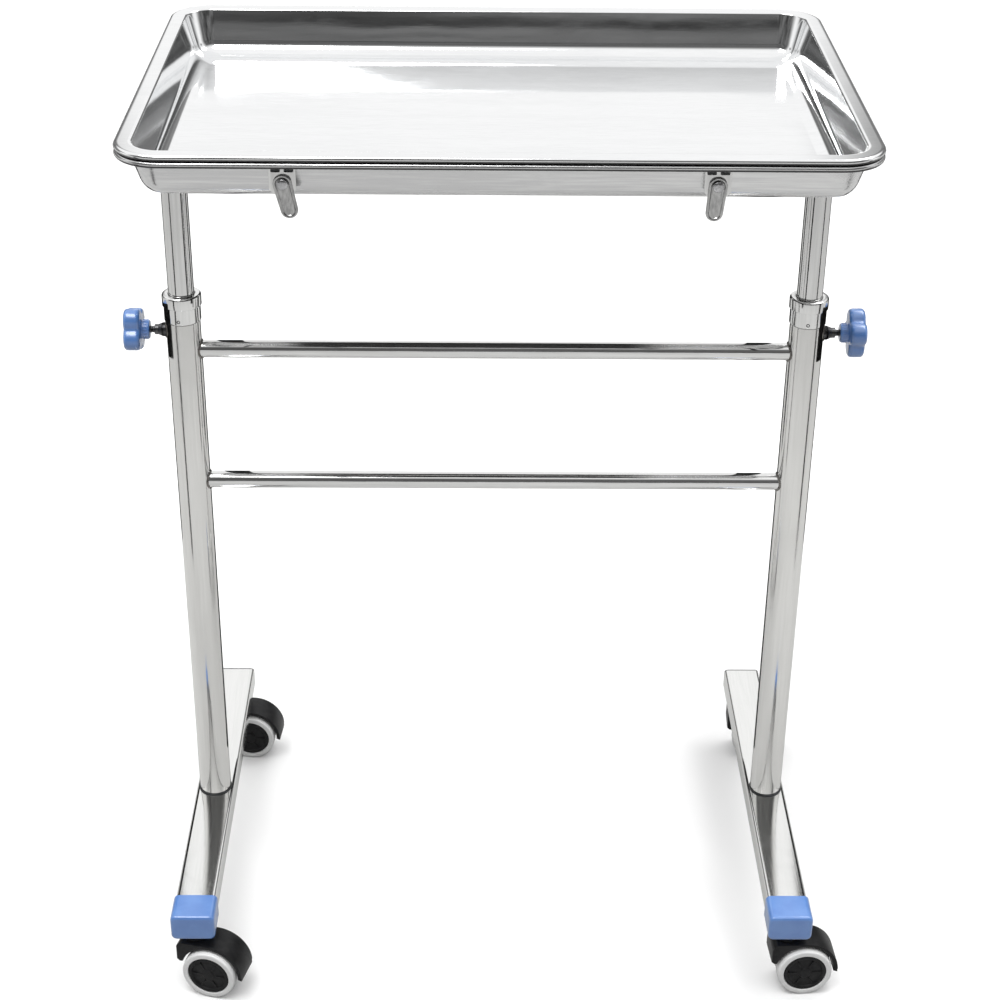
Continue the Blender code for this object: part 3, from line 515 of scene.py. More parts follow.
class Finish(Enum):
    """Every finish on the cart."""

    MIRROR_STEEL = MetalFinish(
        "tray_mirror_steel", "mirror_steel", (0.93, 0.935, 0.94), (0.885, 0.89, 0.895),
        (0.045, 0.10), (0.12, 1.0, 1.0), grain_scale=520.0, bump=0.002,
        smudge_scale=14.0, scratch=0.2, wave=0.10, wave_scale=16.0,
        pan="instrument_tray")
    SATIN_STEEL = MetalFinish(
        "holder_satin_steel", "satin_steel", (0.78, 0.78, 0.78), (0.63, 0.63, 0.635),
        (0.16, 0.30), (0.04, 1.0, 1.0), grain_scale=620.0, bump=0.03, scratch=0.35,
        pan="tray_holder")
    RAIL_STEEL = MetalFinish(
        "rail_brushed_steel", "satin_steel", (0.90, 0.90, 0.89), (0.84, 0.845, 0.83),
        (0.10, 0.20), (1.0, 0.03, 1.0), grain_scale=680.0, bump=0.006, scratch=0.3,
        dust=0.06)
    TUBE_STEEL = MetalFinish(
        "polished_tube_steel", "polished_tube", (0.86, 0.86, 0.855), (0.72, 0.72, 0.715),
        (0.07, 0.17), (1.0, 1.0, 0.03), grain_scale=520.0, bump=0.010, wave=0.03,
        wave_scale=30.0)
    LOWER_TUBE_STEEL = MetalFinish(
        "lower_post_steel", "polished_tube", (0.86, 0.855, 0.84), (0.77, 0.765, 0.75),
        (0.12, 0.24), (1.0, 1.0, 0.03), grain_scale=560.0, bump=0.010, wave=0.03,
        wave_scale=22.0, dust=0.1)
    CROSSBAR_STEEL = MetalFinish(
        "crossbar_steel", "polished_tube", (0.87, 0.87, 0.865), (0.74, 0.74, 0.735),
        (0.06, 0.15), (0.03, 1.0, 1.0), grain_scale=520.0, bump=0.010)
    HARDWARE_STEEL = MetalFinish(
        "hardware_steel_small", "hardware_steel", (0.66, 0.66, 0.67), (0.44, 0.44, 0.45),
        (0.22, 0.40), (1.0, 1.0, 1.0), grain_scale=900.0, bump=0.05, scratch=0.6)
    LATCH_STEEL = MetalFinish(
        "latch_steel", "polished_tube", (0.58, 0.58, 0.575), (0.34, 0.34, 0.34),
        (0.20, 0.36), (1.0, 1.0, 0.3), grain_scale=700.0, bump=0.05, scratch=0.6)
    BLACKED_STEEL = MetalFinish(
        "blacked_steel", "hardware_steel", (0.16, 0.16, 0.165), (0.07, 0.07, 0.072),
        (0.24, 0.42), (1.0, 1.0, 1.0), grain_scale=900.0, bump=0.05, scratch=0.6)
    WELD_STEEL = MetalFinish(
        "weld_steel", "polished_tube", (0.40, 0.38, 0.36), (0.14, 0.13, 0.12),
        (0.24, 0.48), (1.0, 1.0, 1.0), grain_scale=1500.0, bump=0.20, scratch=0.1)
    BLUE_PLASTIC = MouldedFinish(
        "blue_moulded_plastic", "blue_plastic", (0.090, 0.230, 0.600),
        (0.110, 0.265, 0.645), (0.28, 0.40), coat=1.0, bump=0.03)
    DARK_PLASTIC = MouldedFinish(
        "dark_moulded_plastic", "dark_plastic", (0.030, 0.032, 0.035),
        (0.060, 0.062, 0.066), (0.40, 0.58), dust=0.15)
    CASTER_BLACK = MouldedFinish(
        "caster_black_plastic", "caster_black", (0.0060, 0.0060, 0.0068),
        (0.012, 0.012, 0.013), (0.34, 0.52), bump=0.06, dust=0.03, shine=0.22)
    TREAD_WHITE = MouldedFinish(
        "tread_white_rubber", "tread_white", (0.95, 0.95, 0.945), (0.91, 0.91, 0.905),
        (0.45, 0.62), bump=0.06, dust=0.10, dust_colour=(0.50, 0.49, 0.47))
    GLIDE_NYLON = MouldedFinish(
        "glide_nylon_moulded", "glide_nylon", (0.78, 0.77, 0.72), (0.70, 0.69, 0.63),
        (0.40, 0.55))


class Paintbox:
    """Hands out the material of each finish, made once."""

    def __init__(self) -> None:
        """Build the shared effects and every finish."""
        effects = EffectGroups()
        self.materials = {finish: finish.value.build(effects) for finish in Finish}

    def material(self, finish: Finish) -> bpy.types.Material:
        """The material of a finish."""
        return self.materials[finish]

    def dress_node(self, node: str, finish: Finish) -> None:
        """Give a carried-over CAD node a finish.

        Args:
            node: name of the node.
            finish: its finish.
        """
        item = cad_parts[node]
        item.data.materials.clear()
        item.data.materials.append(self.material(finish))
        LOG.info("dressed %s as %s", node, finish.value.name)


# ------------------------------------------------------------------ geometry nodes

class NodeShapes:
    """Geometry Nodes trees for what repeats or follows a path, turned into plain meshes."""

    def __init__(self) -> None:
        """Build the four trees."""
        self.ring = self._ring_tree()
        self.bead = self._bead_tree()
        self.thread = self._thread_tree()
        self.repeat = self._repeat_tree()

    @staticmethod
    def _start(name: str, inputs: Sequence[tuple[str, str, object]]) -> tuple[NodeNet, dict]:
        """Start a tree that takes a geometry, named sizes and a material.

        Args:
            name: name of the tree.
            inputs: name, socket type and default value of each size.

        Returns:
            The tree's net and its input sockets by name.
        """
        tree = bpy.data.node_groups.new(name, "GeometryNodeTree")
        tree.interface.new_socket("Geometry", in_out="INPUT", socket_type="NodeSocketGeometry")
        for label, kind, default in inputs:
            socket = tree.interface.new_socket(label, in_out="INPUT", socket_type=kind)
            socket.default_value = default
        tree.interface.new_socket("Material", in_out="INPUT", socket_type="NodeSocketMaterial")
        tree.interface.new_socket("Geometry", in_out="OUTPUT", socket_type="NodeSocketGeometry")
        net = NodeNet(tree)
        source = net.add("NodeGroupInput")
        return net, {s.name: s for s in source.outputs if s.name}

    @staticmethod
    def _close(net: NodeNet, geometry: bpy.types.NodeSocket, given: dict) -> bpy.types.NodeTree:
        """End a tree in Realize Instances and Set Material.

        Args:
            net: the tree's net.
            geometry: the shape made.
            given: the tree's input sockets.

        Returns:
            The tree.
        """
        real = net.make("GeometryNodeRealizeInstances", {"Geometry": geometry})
        paint = net.make("GeometryNodeSetMaterial", {
            "Geometry": real, "Material": given["Material"]})
        out = net.add("NodeGroupOutput")
        net.feed(out.inputs["Geometry"], paint)
        return net.tree

    @staticmethod
    def _sweep(net: NodeNet, path: bpy.types.NodeSocket, section: bpy.types.NodeSocket,
               caps: bool = False) -> bpy.types.NodeSocket:
        """Sweep a section along a path.

        Args:
            net: the tree's net.
            path: the path's curve.
            section: the section's curve.
            caps: whether the ends are closed.

        Returns:
            The swept mesh.
        """
        return net.make("GeometryNodeCurveToMesh", {
            "Curve": path, "Profile Curve": section, "Fill Caps": caps})

    def _ring_tree(self) -> bpy.types.NodeTree:
        """A tube: its wall's section, with rounded lips, swept round a circle.

        Returns:
            The tree.
        """
        net, given = self._start("tube_wall_round_circle", [
            ("Outer Radius", "NodeSocketFloat", 0.01),
            ("Wall", "NodeSocketFloat", 0.001),
            ("Length", "NodeSocketFloat", 0.1),
            ("Lip", "NodeSocketFloat", 0.0003),
            ("Steps", "NodeSocketInt", 96),
        ])
        half_wall = net.math("MULTIPLY", given["Wall"], 0.5)
        circle = net.make("GeometryNodeCurvePrimitiveCircle", {
            "Resolution": given["Steps"],
            "Radius": net.math("SUBTRACT", given["Outer Radius"], half_wall)})
        wall = net.make("GeometryNodeCurvePrimitiveQuadrilateral", {
            "Width": given["Wall"], "Height": given["Length"]})
        lips = net.make("GeometryNodeFilletCurve", {
            "Curve": wall, "Count": 3, "Radius": given["Lip"]}, mode="POLY")
        return self._close(net, self._sweep(net, circle, lips), given)

    def _bead_tree(self) -> bpy.types.NodeTree:
        """A weld bead along a closed path, with a slightly uneven back.

        Returns:
            The tree.
        """
        net, given = self._start("weld_bead_along_path", [
            ("Bead Radius", "NodeSocketFloat", 0.0008),
            ("Unevenness", "NodeSocketFloat", 0.0002),
            ("Ripple Scale", "NodeSocketFloat", 700.0),
            ("Seed", "NodeSocketFloat", 1.0),
        ])
        path = net.make("GeometryNodeMeshToCurve", {"Mesh": given["Geometry"]})
        section = net.make("GeometryNodeCurvePrimitiveCircle", {
            "Resolution": 8, "Radius": given["Bead Radius"]})
        bead = self._sweep(net, path, section)
        ripple = net.make("ShaderNodeTexNoise", {
            "Scale": given["Ripple Scale"], "W": given["Seed"]}, noise_dimensions="4D")
        lift = net.math("MULTIPLY", net.math("SUBTRACT", ripple, 0.5), given["Unevenness"])
        along = net.make("ShaderNodeVectorMath", {
            0: net.make("GeometryNodeInputNormal", {}), "Scale": lift}, operation="SCALE")
        moved = net.make("GeometryNodeSetPosition", {"Geometry": bead, "Offset": along})
        return self._close(net, moved, given)

    def _thread_tree(self) -> bpy.types.NodeTree:
        """A screw thread: a ridge that winds round a core, from z = 0 upwards.

        Returns:
            The tree.
        """
        net, given = self._start("thread_round_core", [
            ("Core Radius", "NodeSocketFloat", 0.0021),
            ("Ridge", "NodeSocketFloat", 0.0003),
            ("Length", "NodeSocketFloat", 0.02),
            ("Turns", "NodeSocketFloat", 20.0),
        ])
        spiral = net.make("GeometryNodeCurveSpiral", {
            "Resolution": 16, "Rotations": given["Turns"], "Start Radius": given["Core Radius"],
            "End Radius": given["Core Radius"], "Height": given["Length"]})
        section = net.make("GeometryNodeCurvePrimitiveCircle", {
            "Resolution": 4, "Radius": given["Ridge"]})
        join = net.add("GeometryNodeJoinGeometry")
        net.feed(join.inputs[0], self._sweep(net, spiral, section, caps=True))
        net.feed(join.inputs[0], given["Geometry"])
        return self._close(net, join.outputs[0], given)

    def _repeat_tree(self) -> bpy.types.NodeTree:
        """Copies of a small shape spaced round the Z axis.

        Returns:
            The tree.
        """
        net, given = self._start("repeat_round_axis", [
            ("Count", "NodeSocketInt", 6),
            ("Radius", "NodeSocketFloat", 0.01),
        ])
        ring = net.make("GeometryNodeMeshCircle", {
            "Vertices": given["Count"], "Radius": given["Radius"]})
        step = net.math("DIVIDE", math.tau, given["Count"])
        heading = net.math("MULTIPLY", net.make("GeometryNodeInputIndex", {}), step)
        axis = net.make("ShaderNodeCombineXYZ", {2: heading})
        turn = net.make("FunctionNodeEulerToRotation", {0: axis})
        copies = net.make("GeometryNodeInstanceOnPoints", {
            "Points": ring, "Instance": given["Geometry"], "Rotation": turn})
        return self._close(net, copies, given)

    @staticmethod
    def run(tree: bpy.types.NodeTree, source: bpy.types.Mesh,
            **values: object) -> bpy.types.Mesh:
        """Run a tree on a mesh and keep the result as a plain mesh.

        Args:
            tree: the tree to run.
            source: the mesh that it starts from.
            **values: its inputs, with underscores for spaces.

        Returns:
            The finished mesh.
        """
        item = bpy.data.objects.new("working_shape", source)
        bpy.context.scene.collection.objects.link(item)
        modifier = item.modifiers.new("Shape", "NODES")
        modifier.node_group = tree
        identifiers = {s.name: s.identifier for s in tree.interface.items_tree
                       if s.in_out == "INPUT"}
        for key, value in values.items():
            modifier[identifiers[key.replace("_", " ")]] = value
        bpy.context.view_layer.update()
        graph = bpy.context.evaluated_depsgraph_get()
        mesh = bpy.data.meshes.new_from_object(item.evaluated_get(graph))
        bpy.data.objects.remove(item)
        return mesh


# ------------------------------------------------------------------ shapes

def arc(centre: Point2, radius: float, start: float, end: float, steps: int) -> list[Point2]:
    """Points along an arc.

    Args:
        centre: middle of the arc.
        radius: its radius.
        start: first angle, in degrees.
        end: last angle, in degrees.
        steps: how many steps there are between them.

    Returns:
        The points.
    """
    angles = [math.radians(start + (end - start) * i / steps) for i in range(steps + 1)]
    return [(centre[0] + radius * math.cos(a), centre[1] + radius * math.sin(a))
            for a in angles]


def rounded_rectangle(half_x: float, half_y: float, radius: float, steps: int) -> list[Point2]:
    """Outline of a rectangle with round corners, anticlockwise.

    Args:
        half_x: half its length along X.
        half_y: half its length along Y.
        radius: radius of its corners.
        steps: steps in each corner.

    Returns:
        The outline's points.
    """
    points: list[Point2] = []
    for index, (side_x, side_y) in enumerate(((1, 1), (-1, 1), (-1, -1), (1, -1))):
        centre = (side_x * (half_x - radius), side_y * (half_y - radius))
        points += arc(centre, radius, 90 * index, 90 * (index + 1), steps)
    return points


def softened(corners: Sequence[tuple[float, float, float]], steps: int = 5,
             closed: bool = False) -> list[Point2]:
    """A profile whose corners are rounded.

    Args:
        corners: each corner with the radius that rounds it.
        steps: steps in each round.
        closed: whether the last corner joins the first.

    Returns:
        The profile's points.
    """
    points: list[Point2] = []
    count = len(corners)
    for index, (x, y, radius) in enumerate(corners):
        here = Vector((x, y))
        ends = not closed and index in (0, count - 1)
        if ends or radius <= 0.0:
            points.append((x, y))
            continue
        before = Vector(corners[index - 1][:2]) - here
        after = Vector(corners[(index + 1) % count][:2]) - here
        half = before.angle(after) / 2
        reach = min(radius / math.tan(half), before.length * 0.49, after.length * 0.49)
        radius = reach * math.tan(half)
        before.normalize()
        after.normalize()
        centre = here + (before + after).normalized() * (radius / math.sin(half))
        first, last = here + before * reach - centre, here + after * reach - centre
        sweep = math.atan2(first.x * last.y - first.y * last.x, first.dot(last))
        for step in range(steps + 1):
            spoke = first.copy()
            spoke.rotate(Matrix.Rotation(sweep * step / steps, 2))
            points.append(tuple(centre + spoke))
    return points


class Solid:
    """A mesh in the making, gathered from closed shapes."""

    def __init__(self) -> None:
        """Start with nothing."""
        self.mesh = bmesh.new()

    def loft(self, rings: Sequence[Ring], matrix: Matrix | None = None,
             round_about: bool = False) -> "Solid":
        """Add a closed skin over rings of points.

        Args:
            rings: rings with the same number of points each.
            matrix: where the skin goes.
            round_about: whether the last ring joins the first, and not two end faces.

        Returns:
            This solid.
        """
        shape = bmesh.new()
        rows = [[shape.verts.new(p) for p in ring] for ring in rings]
        pairs = list(zip(rows, rows[1:]))
        if round_about:
            pairs.append((rows[-1], rows[0]))
        else:
            shape.faces.new(list(reversed(rows[0])))
            shape.faces.new(rows[-1])
        for here, there in pairs:
            for index in range(len(here)):
                after = (index + 1) % len(here)
                shape.faces.new((here[index], here[after], there[after], there[index]))
        bmesh.ops.recalc_face_normals(shape, faces=shape.faces)
        return self._take(shape, matrix)

    def turn(self, profile: Sequence[Point2], steps: int = 64, matrix: Matrix | None = None,
             hollow: bool = False,
             bend: Callable[[float, int], float] | None = None) -> "Solid":
        """Add a profile turned about Z.

        Args:
            profile: points of (radius, height).
            steps: steps round the axis.
            matrix: where the shape goes.
            hollow: whether the profile closes on itself, and not on the axis.
            bend: gives another radius at an angle, from the angle and the ring's number.

        Returns:
            This solid.
        """
        rings = []
        for number, (radius, height) in enumerate(profile):
            ring = []
            for step in range(steps):
                angle = math.tau * step / steps
                reach = bend(angle, number) if bend else radius
                ring.append(Vector((reach * math.cos(angle), reach * math.sin(angle), height)))
            rings.append(ring)
        return self.loft(rings, matrix, hollow)

    def plate(self, outline: Sequence[Point2], thickness: float, edge: float,
              matrix: Matrix | None = None, holes: Sequence[Sequence[Point2]] = (),
              edge_steps: int = 2) -> "Solid":
        """Add a flat plate with softened edges, centred on its thickness in Z.

        Args:
            outline: its outline.
            thickness: its thickness.
            edge: radius of its edges.
            matrix: where the plate goes.
            holes: outlines of its holes.
            edge_steps: steps in the edges' rounding.

        Returns:
            This solid.
        """
        curve = bpy.data.curves.new("plate", "CURVE")
        curve.dimensions = "2D"
        curve.fill_mode = "BOTH"
        curve.extrude = thickness / 2 - edge
        curve.bevel_depth = edge
        curve.bevel_resolution = edge_steps
        curve.offset = -edge
        for points in (outline, *holes):
            spline = curve.splines.new("POLY")
            spline.points.add(len(points) - 1)
            for point, (x, y) in zip(spline.points, points):
                point.co = (x, y, 0.0, 1.0)
            spline.use_cyclic_u = True
        item = bpy.data.objects.new("plate", curve)
        bpy.context.scene.collection.objects.link(item)
        bpy.context.view_layer.update()
        graph = bpy.context.evaluated_depsgraph_get()
        mesh = bpy.data.meshes.new_from_object(item.evaluated_get(graph))
        bpy.data.objects.remove(item)
        shape = bmesh.new()
        shape.from_mesh(mesh)
        bmesh.ops.remove_doubles(shape, verts=shape.verts, dist=0.00001)
        bmesh.ops.recalc_face_normals(shape, faces=shape.faces)
        return self._take(shape, matrix)

    def add(self, mesh: bpy.types.Mesh, matrix: Matrix | None = None,
            weld: bool = False) -> "Solid":
        """Add a finished mesh.

        Args:
            mesh: the mesh.
            matrix: where it goes.
            weld: whether its faces are turned outwards again.

        Returns:
            This solid.
        """
        shape = bmesh.new()
        shape.from_mesh(mesh)
        if weld:
            bmesh.ops.remove_doubles(shape, verts=shape.verts, dist=0.000001)
            bmesh.ops.recalc_face_normals(shape, faces=shape.faces)
        return self._take(shape, matrix)

    def _take(self, shape: bmesh.types.BMesh, matrix: Matrix | None) -> "Solid":
        """Put a shape in its place and join it to the rest.

        Args:
            shape: the shape to take.
            matrix: where it goes.

        Returns:
            This solid.
        """
        if matrix is not None:
            bmesh.ops.transform(shape, matrix=matrix, verts=shape.verts)
        step = bpy.data.meshes.new("step")
        shape.to_mesh(step)
        shape.free()
        self.mesh.from_mesh(step)
        bpy.data.meshes.remove(step)
        return self

    def as_mesh(self, name: str) -> bpy.types.Mesh:
        """The solid as a plain mesh, for a Geometry Nodes tree to work on."""
        mesh = bpy.data.meshes.new(name)
        self.mesh.to_mesh(mesh)
        return mesh


def facing(direction: Vector, origin: Vector) -> Matrix:
    """A place whose +Z looks along a direction.

    Args:
        direction: where +Z looks.
        origin: the place's origin.

    Returns:
        The matrix that puts a shape there.
    """
    return Matrix.Translation(origin) @ direction.to_track_quat("Z", "Y").to_matrix().to_4x4()


class Workshop:
    """What every sub-assembly uses to make and hand over its pieces."""

    def __init__(self, paint: Paintbox, nodes: NodeShapes) -> None:
        """Keep the paint and the node trees.

        Args:
            paint: the finishes.
            nodes: the Geometry Nodes trees.
        """
        self.paint = paint
        self.nodes = nodes

    def hand_over(self, name: str, solid: Solid, finish: Finish, body: str,
                  replaces: Sequence[str] = (), crease: float = 32.0) -> bpy.types.Object:
        """Make a piece of a solid, dress it and put it on its body.

        Args:
            name: name of the piece.
            solid: its shape, in the cart's frame.
            finish: its finish.
            body: the body that it rides on.
            replaces: the CAD nodes that it stands for.
            crease: angle in degrees above which an edge stays sharp.

        Returns:
            The piece.
        """
        mesh = solid.as_mesh(name)
        mesh.materials.clear()
        mesh.materials.append(self.paint.material(finish))
        mesh.polygons.foreach_set("material_index", [0] * len(mesh.polygons))
        mesh.shade_smooth()
        mesh.set_sharp_from_angle(angle=math.radians(crease))
        item = bpy.data.objects.new(name, mesh)
        bpy.context.scene.collection.objects.link(item)
        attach(item, body)
        if replaces:
            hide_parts(*replaces)
        LOG.info("made %s: %d faces, rides on %s", name, len(mesh.polygons), body)
        return item

    def tube(self, outer: float, wall: float, length: float, finish: Finish,
             lip: float = 0.0003) -> bpy.types.Mesh:
        """A tube along Z, centred on the origin.

        Args:
            outer: its outer radius.
            wall: thickness of its wall.
            length: its length.
            finish: its finish.
            lip: rounding of its ends.

        Returns:
            The tube's mesh.
        """
        return self.nodes.run(self.nodes.ring, bpy.data.meshes.new("seed"),
                              Outer_Radius=outer, Wall=wall, Length=length, Lip=lip, Steps=96,
                              Material=self.paint.material(finish))

    def weld_bead(self, path: Sequence[Vector], radius: float, seed: float) -> bpy.types.Mesh:
        """A weld bead along a closed path.

        Args:
            path: the path's points.
            radius: radius of the bead.
            seed: seed of its ripples.

        Returns:
            The bead's mesh.
        """
        line = bpy.data.meshes.new("path")
        count = len(path)
        line.from_pydata(list(path), [(i, (i + 1) % count) for i in range(count)], [])
        return self.nodes.run(self.nodes.bead, line, Bead_Radius=radius,
                              Unevenness=radius * 0.45, Ripple_Scale=650.0, Seed=seed,
                              Material=self.paint.material(Finish.WELD_STEEL))

    def repeated(self, shape: bpy.types.Mesh, count: int, radius: float,
                 finish: Finish) -> bpy.types.Mesh:
        """A small shape repeated round the Z axis.

        Args:
            shape: the shape.
            count: how many there are.
            radius: how far they are from the axis.
            finish: their finish.

        Returns:
            The mesh of all of them.
        """
        return self.nodes.run(self.nodes.repeat, shape, Count=count, Radius=radius,
                              Material=self.paint.material(finish))


@dataclass
class SidePart:
    """A sub-assembly on one side of the cart."""

    side: Side
    shop: Workshop = field(init=False, repr=False)

    @property
    def label(self) -> str:
        """Name of its side, as the nodes spell it."""
        return self.side.label

    def box(self, node: str) -> tuple[Vector, Vector]:
        """Low and high corner of the CAD node of this side."""
        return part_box(f"{node}_{self.label}")

    def build(self, shop: Workshop) -> None:
        """Make every piece of the sub-assembly.

        Args:
            shop: the workshop.
        """
        self.shop = shop
        self.make_pieces()

    def make_pieces(self) -> None:
        """Make the pieces: each kind of sub-assembly has its own."""
        raise NotImplementedError

    def give(self, node: str, ending: str, solid: Solid, finish: Finish, body: str,
             crease: float = 32.0) -> None:
        """Hand over a piece that is named after the CAD node that it stands for.

        Args:
            node: the node's name without its side, or an added piece's own name.
            ending: what tells the piece from its node, or nothing if it replaces none.
            solid: its shape.
            finish: its finish.
            body: the body that it rides on.
            crease: angle in degrees above which an edge stays sharp.
        """
        name = f"{node}_{self.label}"
        if ending:
            self.shop.hand_over(f"{name}_{ending}", solid, finish, body, [name], crease)
        else:
            self.shop.hand_over(name, solid, finish, body, crease=crease)


# ------------------------------------------------------------------ tray and holder

@dataclass
class PressedTray:
    """A tray pressed from sheet: floor, filleted wall, flange and rolled bead."""

    name: str
    node: str
    body: str
    finish: Finish
    flange: float
    fillet: float
    sheet: float
    bead: float = PAN_BEAD
    draft: float = 0.005
    edge: float = 0.0018
    rim_corner: float = PAN_CORNER
    least_corner: float = 0.010
    floor_start: float = 0.0015
    floor_edge: float = 0.0060
    brow_flat: float = 0.0010
    corner_steps: int = 22

    def section(self, rim: float, depth: float) -> list[Point2]:
        """Section of the sheet as (inset from the rim's edge, height) points.

        Args:
            rim: height of the flange's top.
            depth: depth of the floor below it.

        Returns:
            The section, from the floor's upper side round to its lower side.
        """
        floor = rim - depth
        hollow = (self.flange + self.draft + self.fillet, floor + self.fillet)
        brow = (self.flange - self.edge, rim - self.edge)
        run = Vector((brow[0] - hollow[0], brow[1] - hollow[1]))
        lean = math.degrees(math.atan2(run.y, run.x)
                            - math.acos(-(self.fillet + self.edge) / run.length))
        points = [(hollow[0] + self.floor_edge, floor), (hollow[0] + self.floor_start, floor)]
        points += arc(hollow, self.fillet, 270, 180 + lean, 14)
        points += arc(brow, self.edge, lean, 90, 6)
        points.append((brow[0] - self.brow_flat, rim))
        points.append((self.bead * 1.6, rim))
        points += arc((self.bead, rim - self.bead), self.bead, 90, 355, 20)
        under = rim - self.sheet
        points += [(2 * self.bead + 0.0002, under), (brow[0] - self.brow_flat, under)]
        points += arc(brow, self.edge - self.sheet, 90, lean, 4)
        points += arc(hollow, self.fillet + self.sheet, 180 + lean, 270, 14)
        points += [(hollow[0] + self.floor_start, floor - self.sheet),
                   (hollow[0] + self.floor_edge, floor - self.sheet)]
        return points

    def build(self, shop: Workshop) -> None:
        """Sweep the section round the rim and hand the tray over.

        Args:
            shop: the workshop.
        """
        low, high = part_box(self.node)
        section = self.section(high.z, high.z - low.z - self.sheet)
        rings = []
        for inset, height in section:
            corner = max(self.rim_corner - inset, self.least_corner)
            outline = rounded_rectangle(high.x - inset, high.y - inset, corner,
                                        self.corner_steps)
            rings.append([Vector((x, y, height)) for x, y in outline])
        solid = Solid().loft(rings)
        shop.hand_over(self.name, solid, self.finish, self.body, [self.node], crease=50.0)


# ------------------------------------------------------------------ latches

@dataclass
class Latch(SidePart):
    """A tongue that hangs from a rivet on the holder's front wall."""

    lean: float
    chamfer: float = 0.0030
    slot_offset: float = 0.0042
    slot_half: float = 0.0030
    slot_rise: float = 0.00125
    slot_drop: float = 0.00275
    lever_half: float = 0.0060
    lever_reach: float = 0.0235
    taper: float = 0.92
    rivet_radius: float = 0.0020
    head_radius: float = 0.0036

    def make_pieces(self) -> None:
        """Make the bracket, the lever and the rivet."""
        low, high = self.box("latch_rivet")
        pivot = Vector(((low.x + high.x) / 2, 0.0, (low.z + high.z) / 2))
        self._bracket(pivot)
        self._lever(pivot)
        self._rivet(pivot, low.y, high.y)

    def _bracket(self, pivot: Vector) -> None:
        """Make the plate with its two slots, and dark sheets behind the slots that paint shade
        into them.

        Args:
            pivot: the rivet's place.
        """
        low, high = self.box("latch_bracket")
        half, top, bottom = (high.x - low.x) / 2, high.z - pivot.z, low.z - pivot.z
        cut = self.chamfer
        outline = softened([(half, bottom + cut, 0.001), (half, top, 0.0004),
                            (-half, top, 0.0004), (-half, bottom + cut, 0.001),
                            (-half + cut, bottom, 0.001), (half - cut, bottom, 0.001)],
                           3, closed=True)
        slots = []
        for hand in (-1, 1):
            middle = hand * self.slot_offset
            slots.append([(middle + x, top - self.slot_drop + y) for x, y in
                          rounded_rectangle(self.slot_half, self.slot_rise, 0.0009, 4)])
        hole = arc((0.0, 0.0), self.rivet_radius + 0.0003, 0, 345, 23)
        place = Matrix.Translation((pivot.x, (low.y + high.y) / 2, pivot.z)) @ UPRIGHT
        solid = Solid().plate(outline, high.y - low.y, 0.00025, place, [*slots, hole])
        self.give("latch_bracket", "plate", solid, Finish.TUBE_STEEL, "carriage")
        # Dark sheets just behind the slots: painted shade in the slot openings
        slot_shade_sheets = Solid()
        for hand in (-1, 1):
            fill = rounded_rectangle(self.slot_half - 0.0001, 0.00115, 0.0008, 4)
            spot = Vector((pivot.x + hand * self.slot_offset, high.y - 0.0004,
                           pivot.z + top - self.slot_drop))
            slot_shade_sheets.plate(fill, 0.0008, 0.0001, Matrix.Translation(spot) @ UPRIGHT)
        self.give("latch_slot_shade_sheets", "", slot_shade_sheets, Finish.DARK_PLASTIC, "carriage")

    def _lever(self, pivot: Vector) -> None:
        """Make the dished lever, with a rim round its front.

        Args:
            pivot: the rivet's place.
        """
        low, high = self.box("latch_lever")
        thick = high.y - low.y
        tip = -(self.lever_reach - self.lever_half)

        def outline(inset: float) -> list[Point2]:
            """The lever's outline, drawn in by an inset."""
            points = arc((0.0, 0.0), self.lever_half - inset, 0, 180, 20)
            return points + arc((0.0, tip), self.lever_half * self.taper - inset, 180, 360, 20)

        outer = outline(0.0)
        hole = [Vector((x, y)).normalized() * (self.rivet_radius + 0.0003) for x, y in outer]
        soft = 0.0005
        levels: list[tuple[list[Point2], float]] = [
            ([tuple(p) for p in hole], -thick / 2), (outline(soft), -thick / 2),
            (outer, -thick / 2 + soft), (outer, thick / 2 - soft),
            (outline(soft * 0.3), thick / 2 - soft * 0.3), (outline(soft), thick / 2),
            (outline(soft * 2.2), thick / 2), (outline(soft * 3.2), thick / 2 - 0.0003),
            (outline(soft * 4.2), thick / 2 - 0.0009), ([tuple(p) for p in hole],
                                                        thick / 2 - 0.0009)]
        rings = [[Vector((x, y, z)) for x, y in points] for points, z in levels]
        tilt = Matrix.Rotation(-self.lean, 4, "Y")
        place = Matrix.Translation((pivot.x, (low.y + high.y) / 2, pivot.z)) @ tilt @ UPRIGHT
        solid = Solid().loft(rings, place, round_about=True)
        self.give("latch_lever", "tongue", solid, Finish.LATCH_STEEL, "latch_" + self.label,
                  40.0)

    def _rivet(self, pivot: Vector, front: float, back: float) -> None:
        """Make the domed rivet.

        Args:
            pivot: its place.
            front: its front end along Y.
            back: its back end along Y.
        """
        head = 0.0012
        length = back - front
        dome = [(self.head_radius * math.cos(a), -head * math.sin(a))
                for a in (math.radians(10 * i) for i in range(9))]
        profile = [(0.00005, head - length), (self.rivet_radius, head - length),
                   (self.rivet_radius, 0.0), (self.head_radius, 0.0),
                   *[(r, -z) for r, z in dome[1:]], (0.00005, head)]
        place = facing(Vector((0, -1, 0)), Vector((pivot.x, front + head, pivot.z)))
        solid = Solid().turn(profile, 40, place)
        self.give("latch_rivet", "dome", solid, Finish.HARDWARE_STEEL, "carriage")


# ------------------------------------------------------------------ posts and crossbars

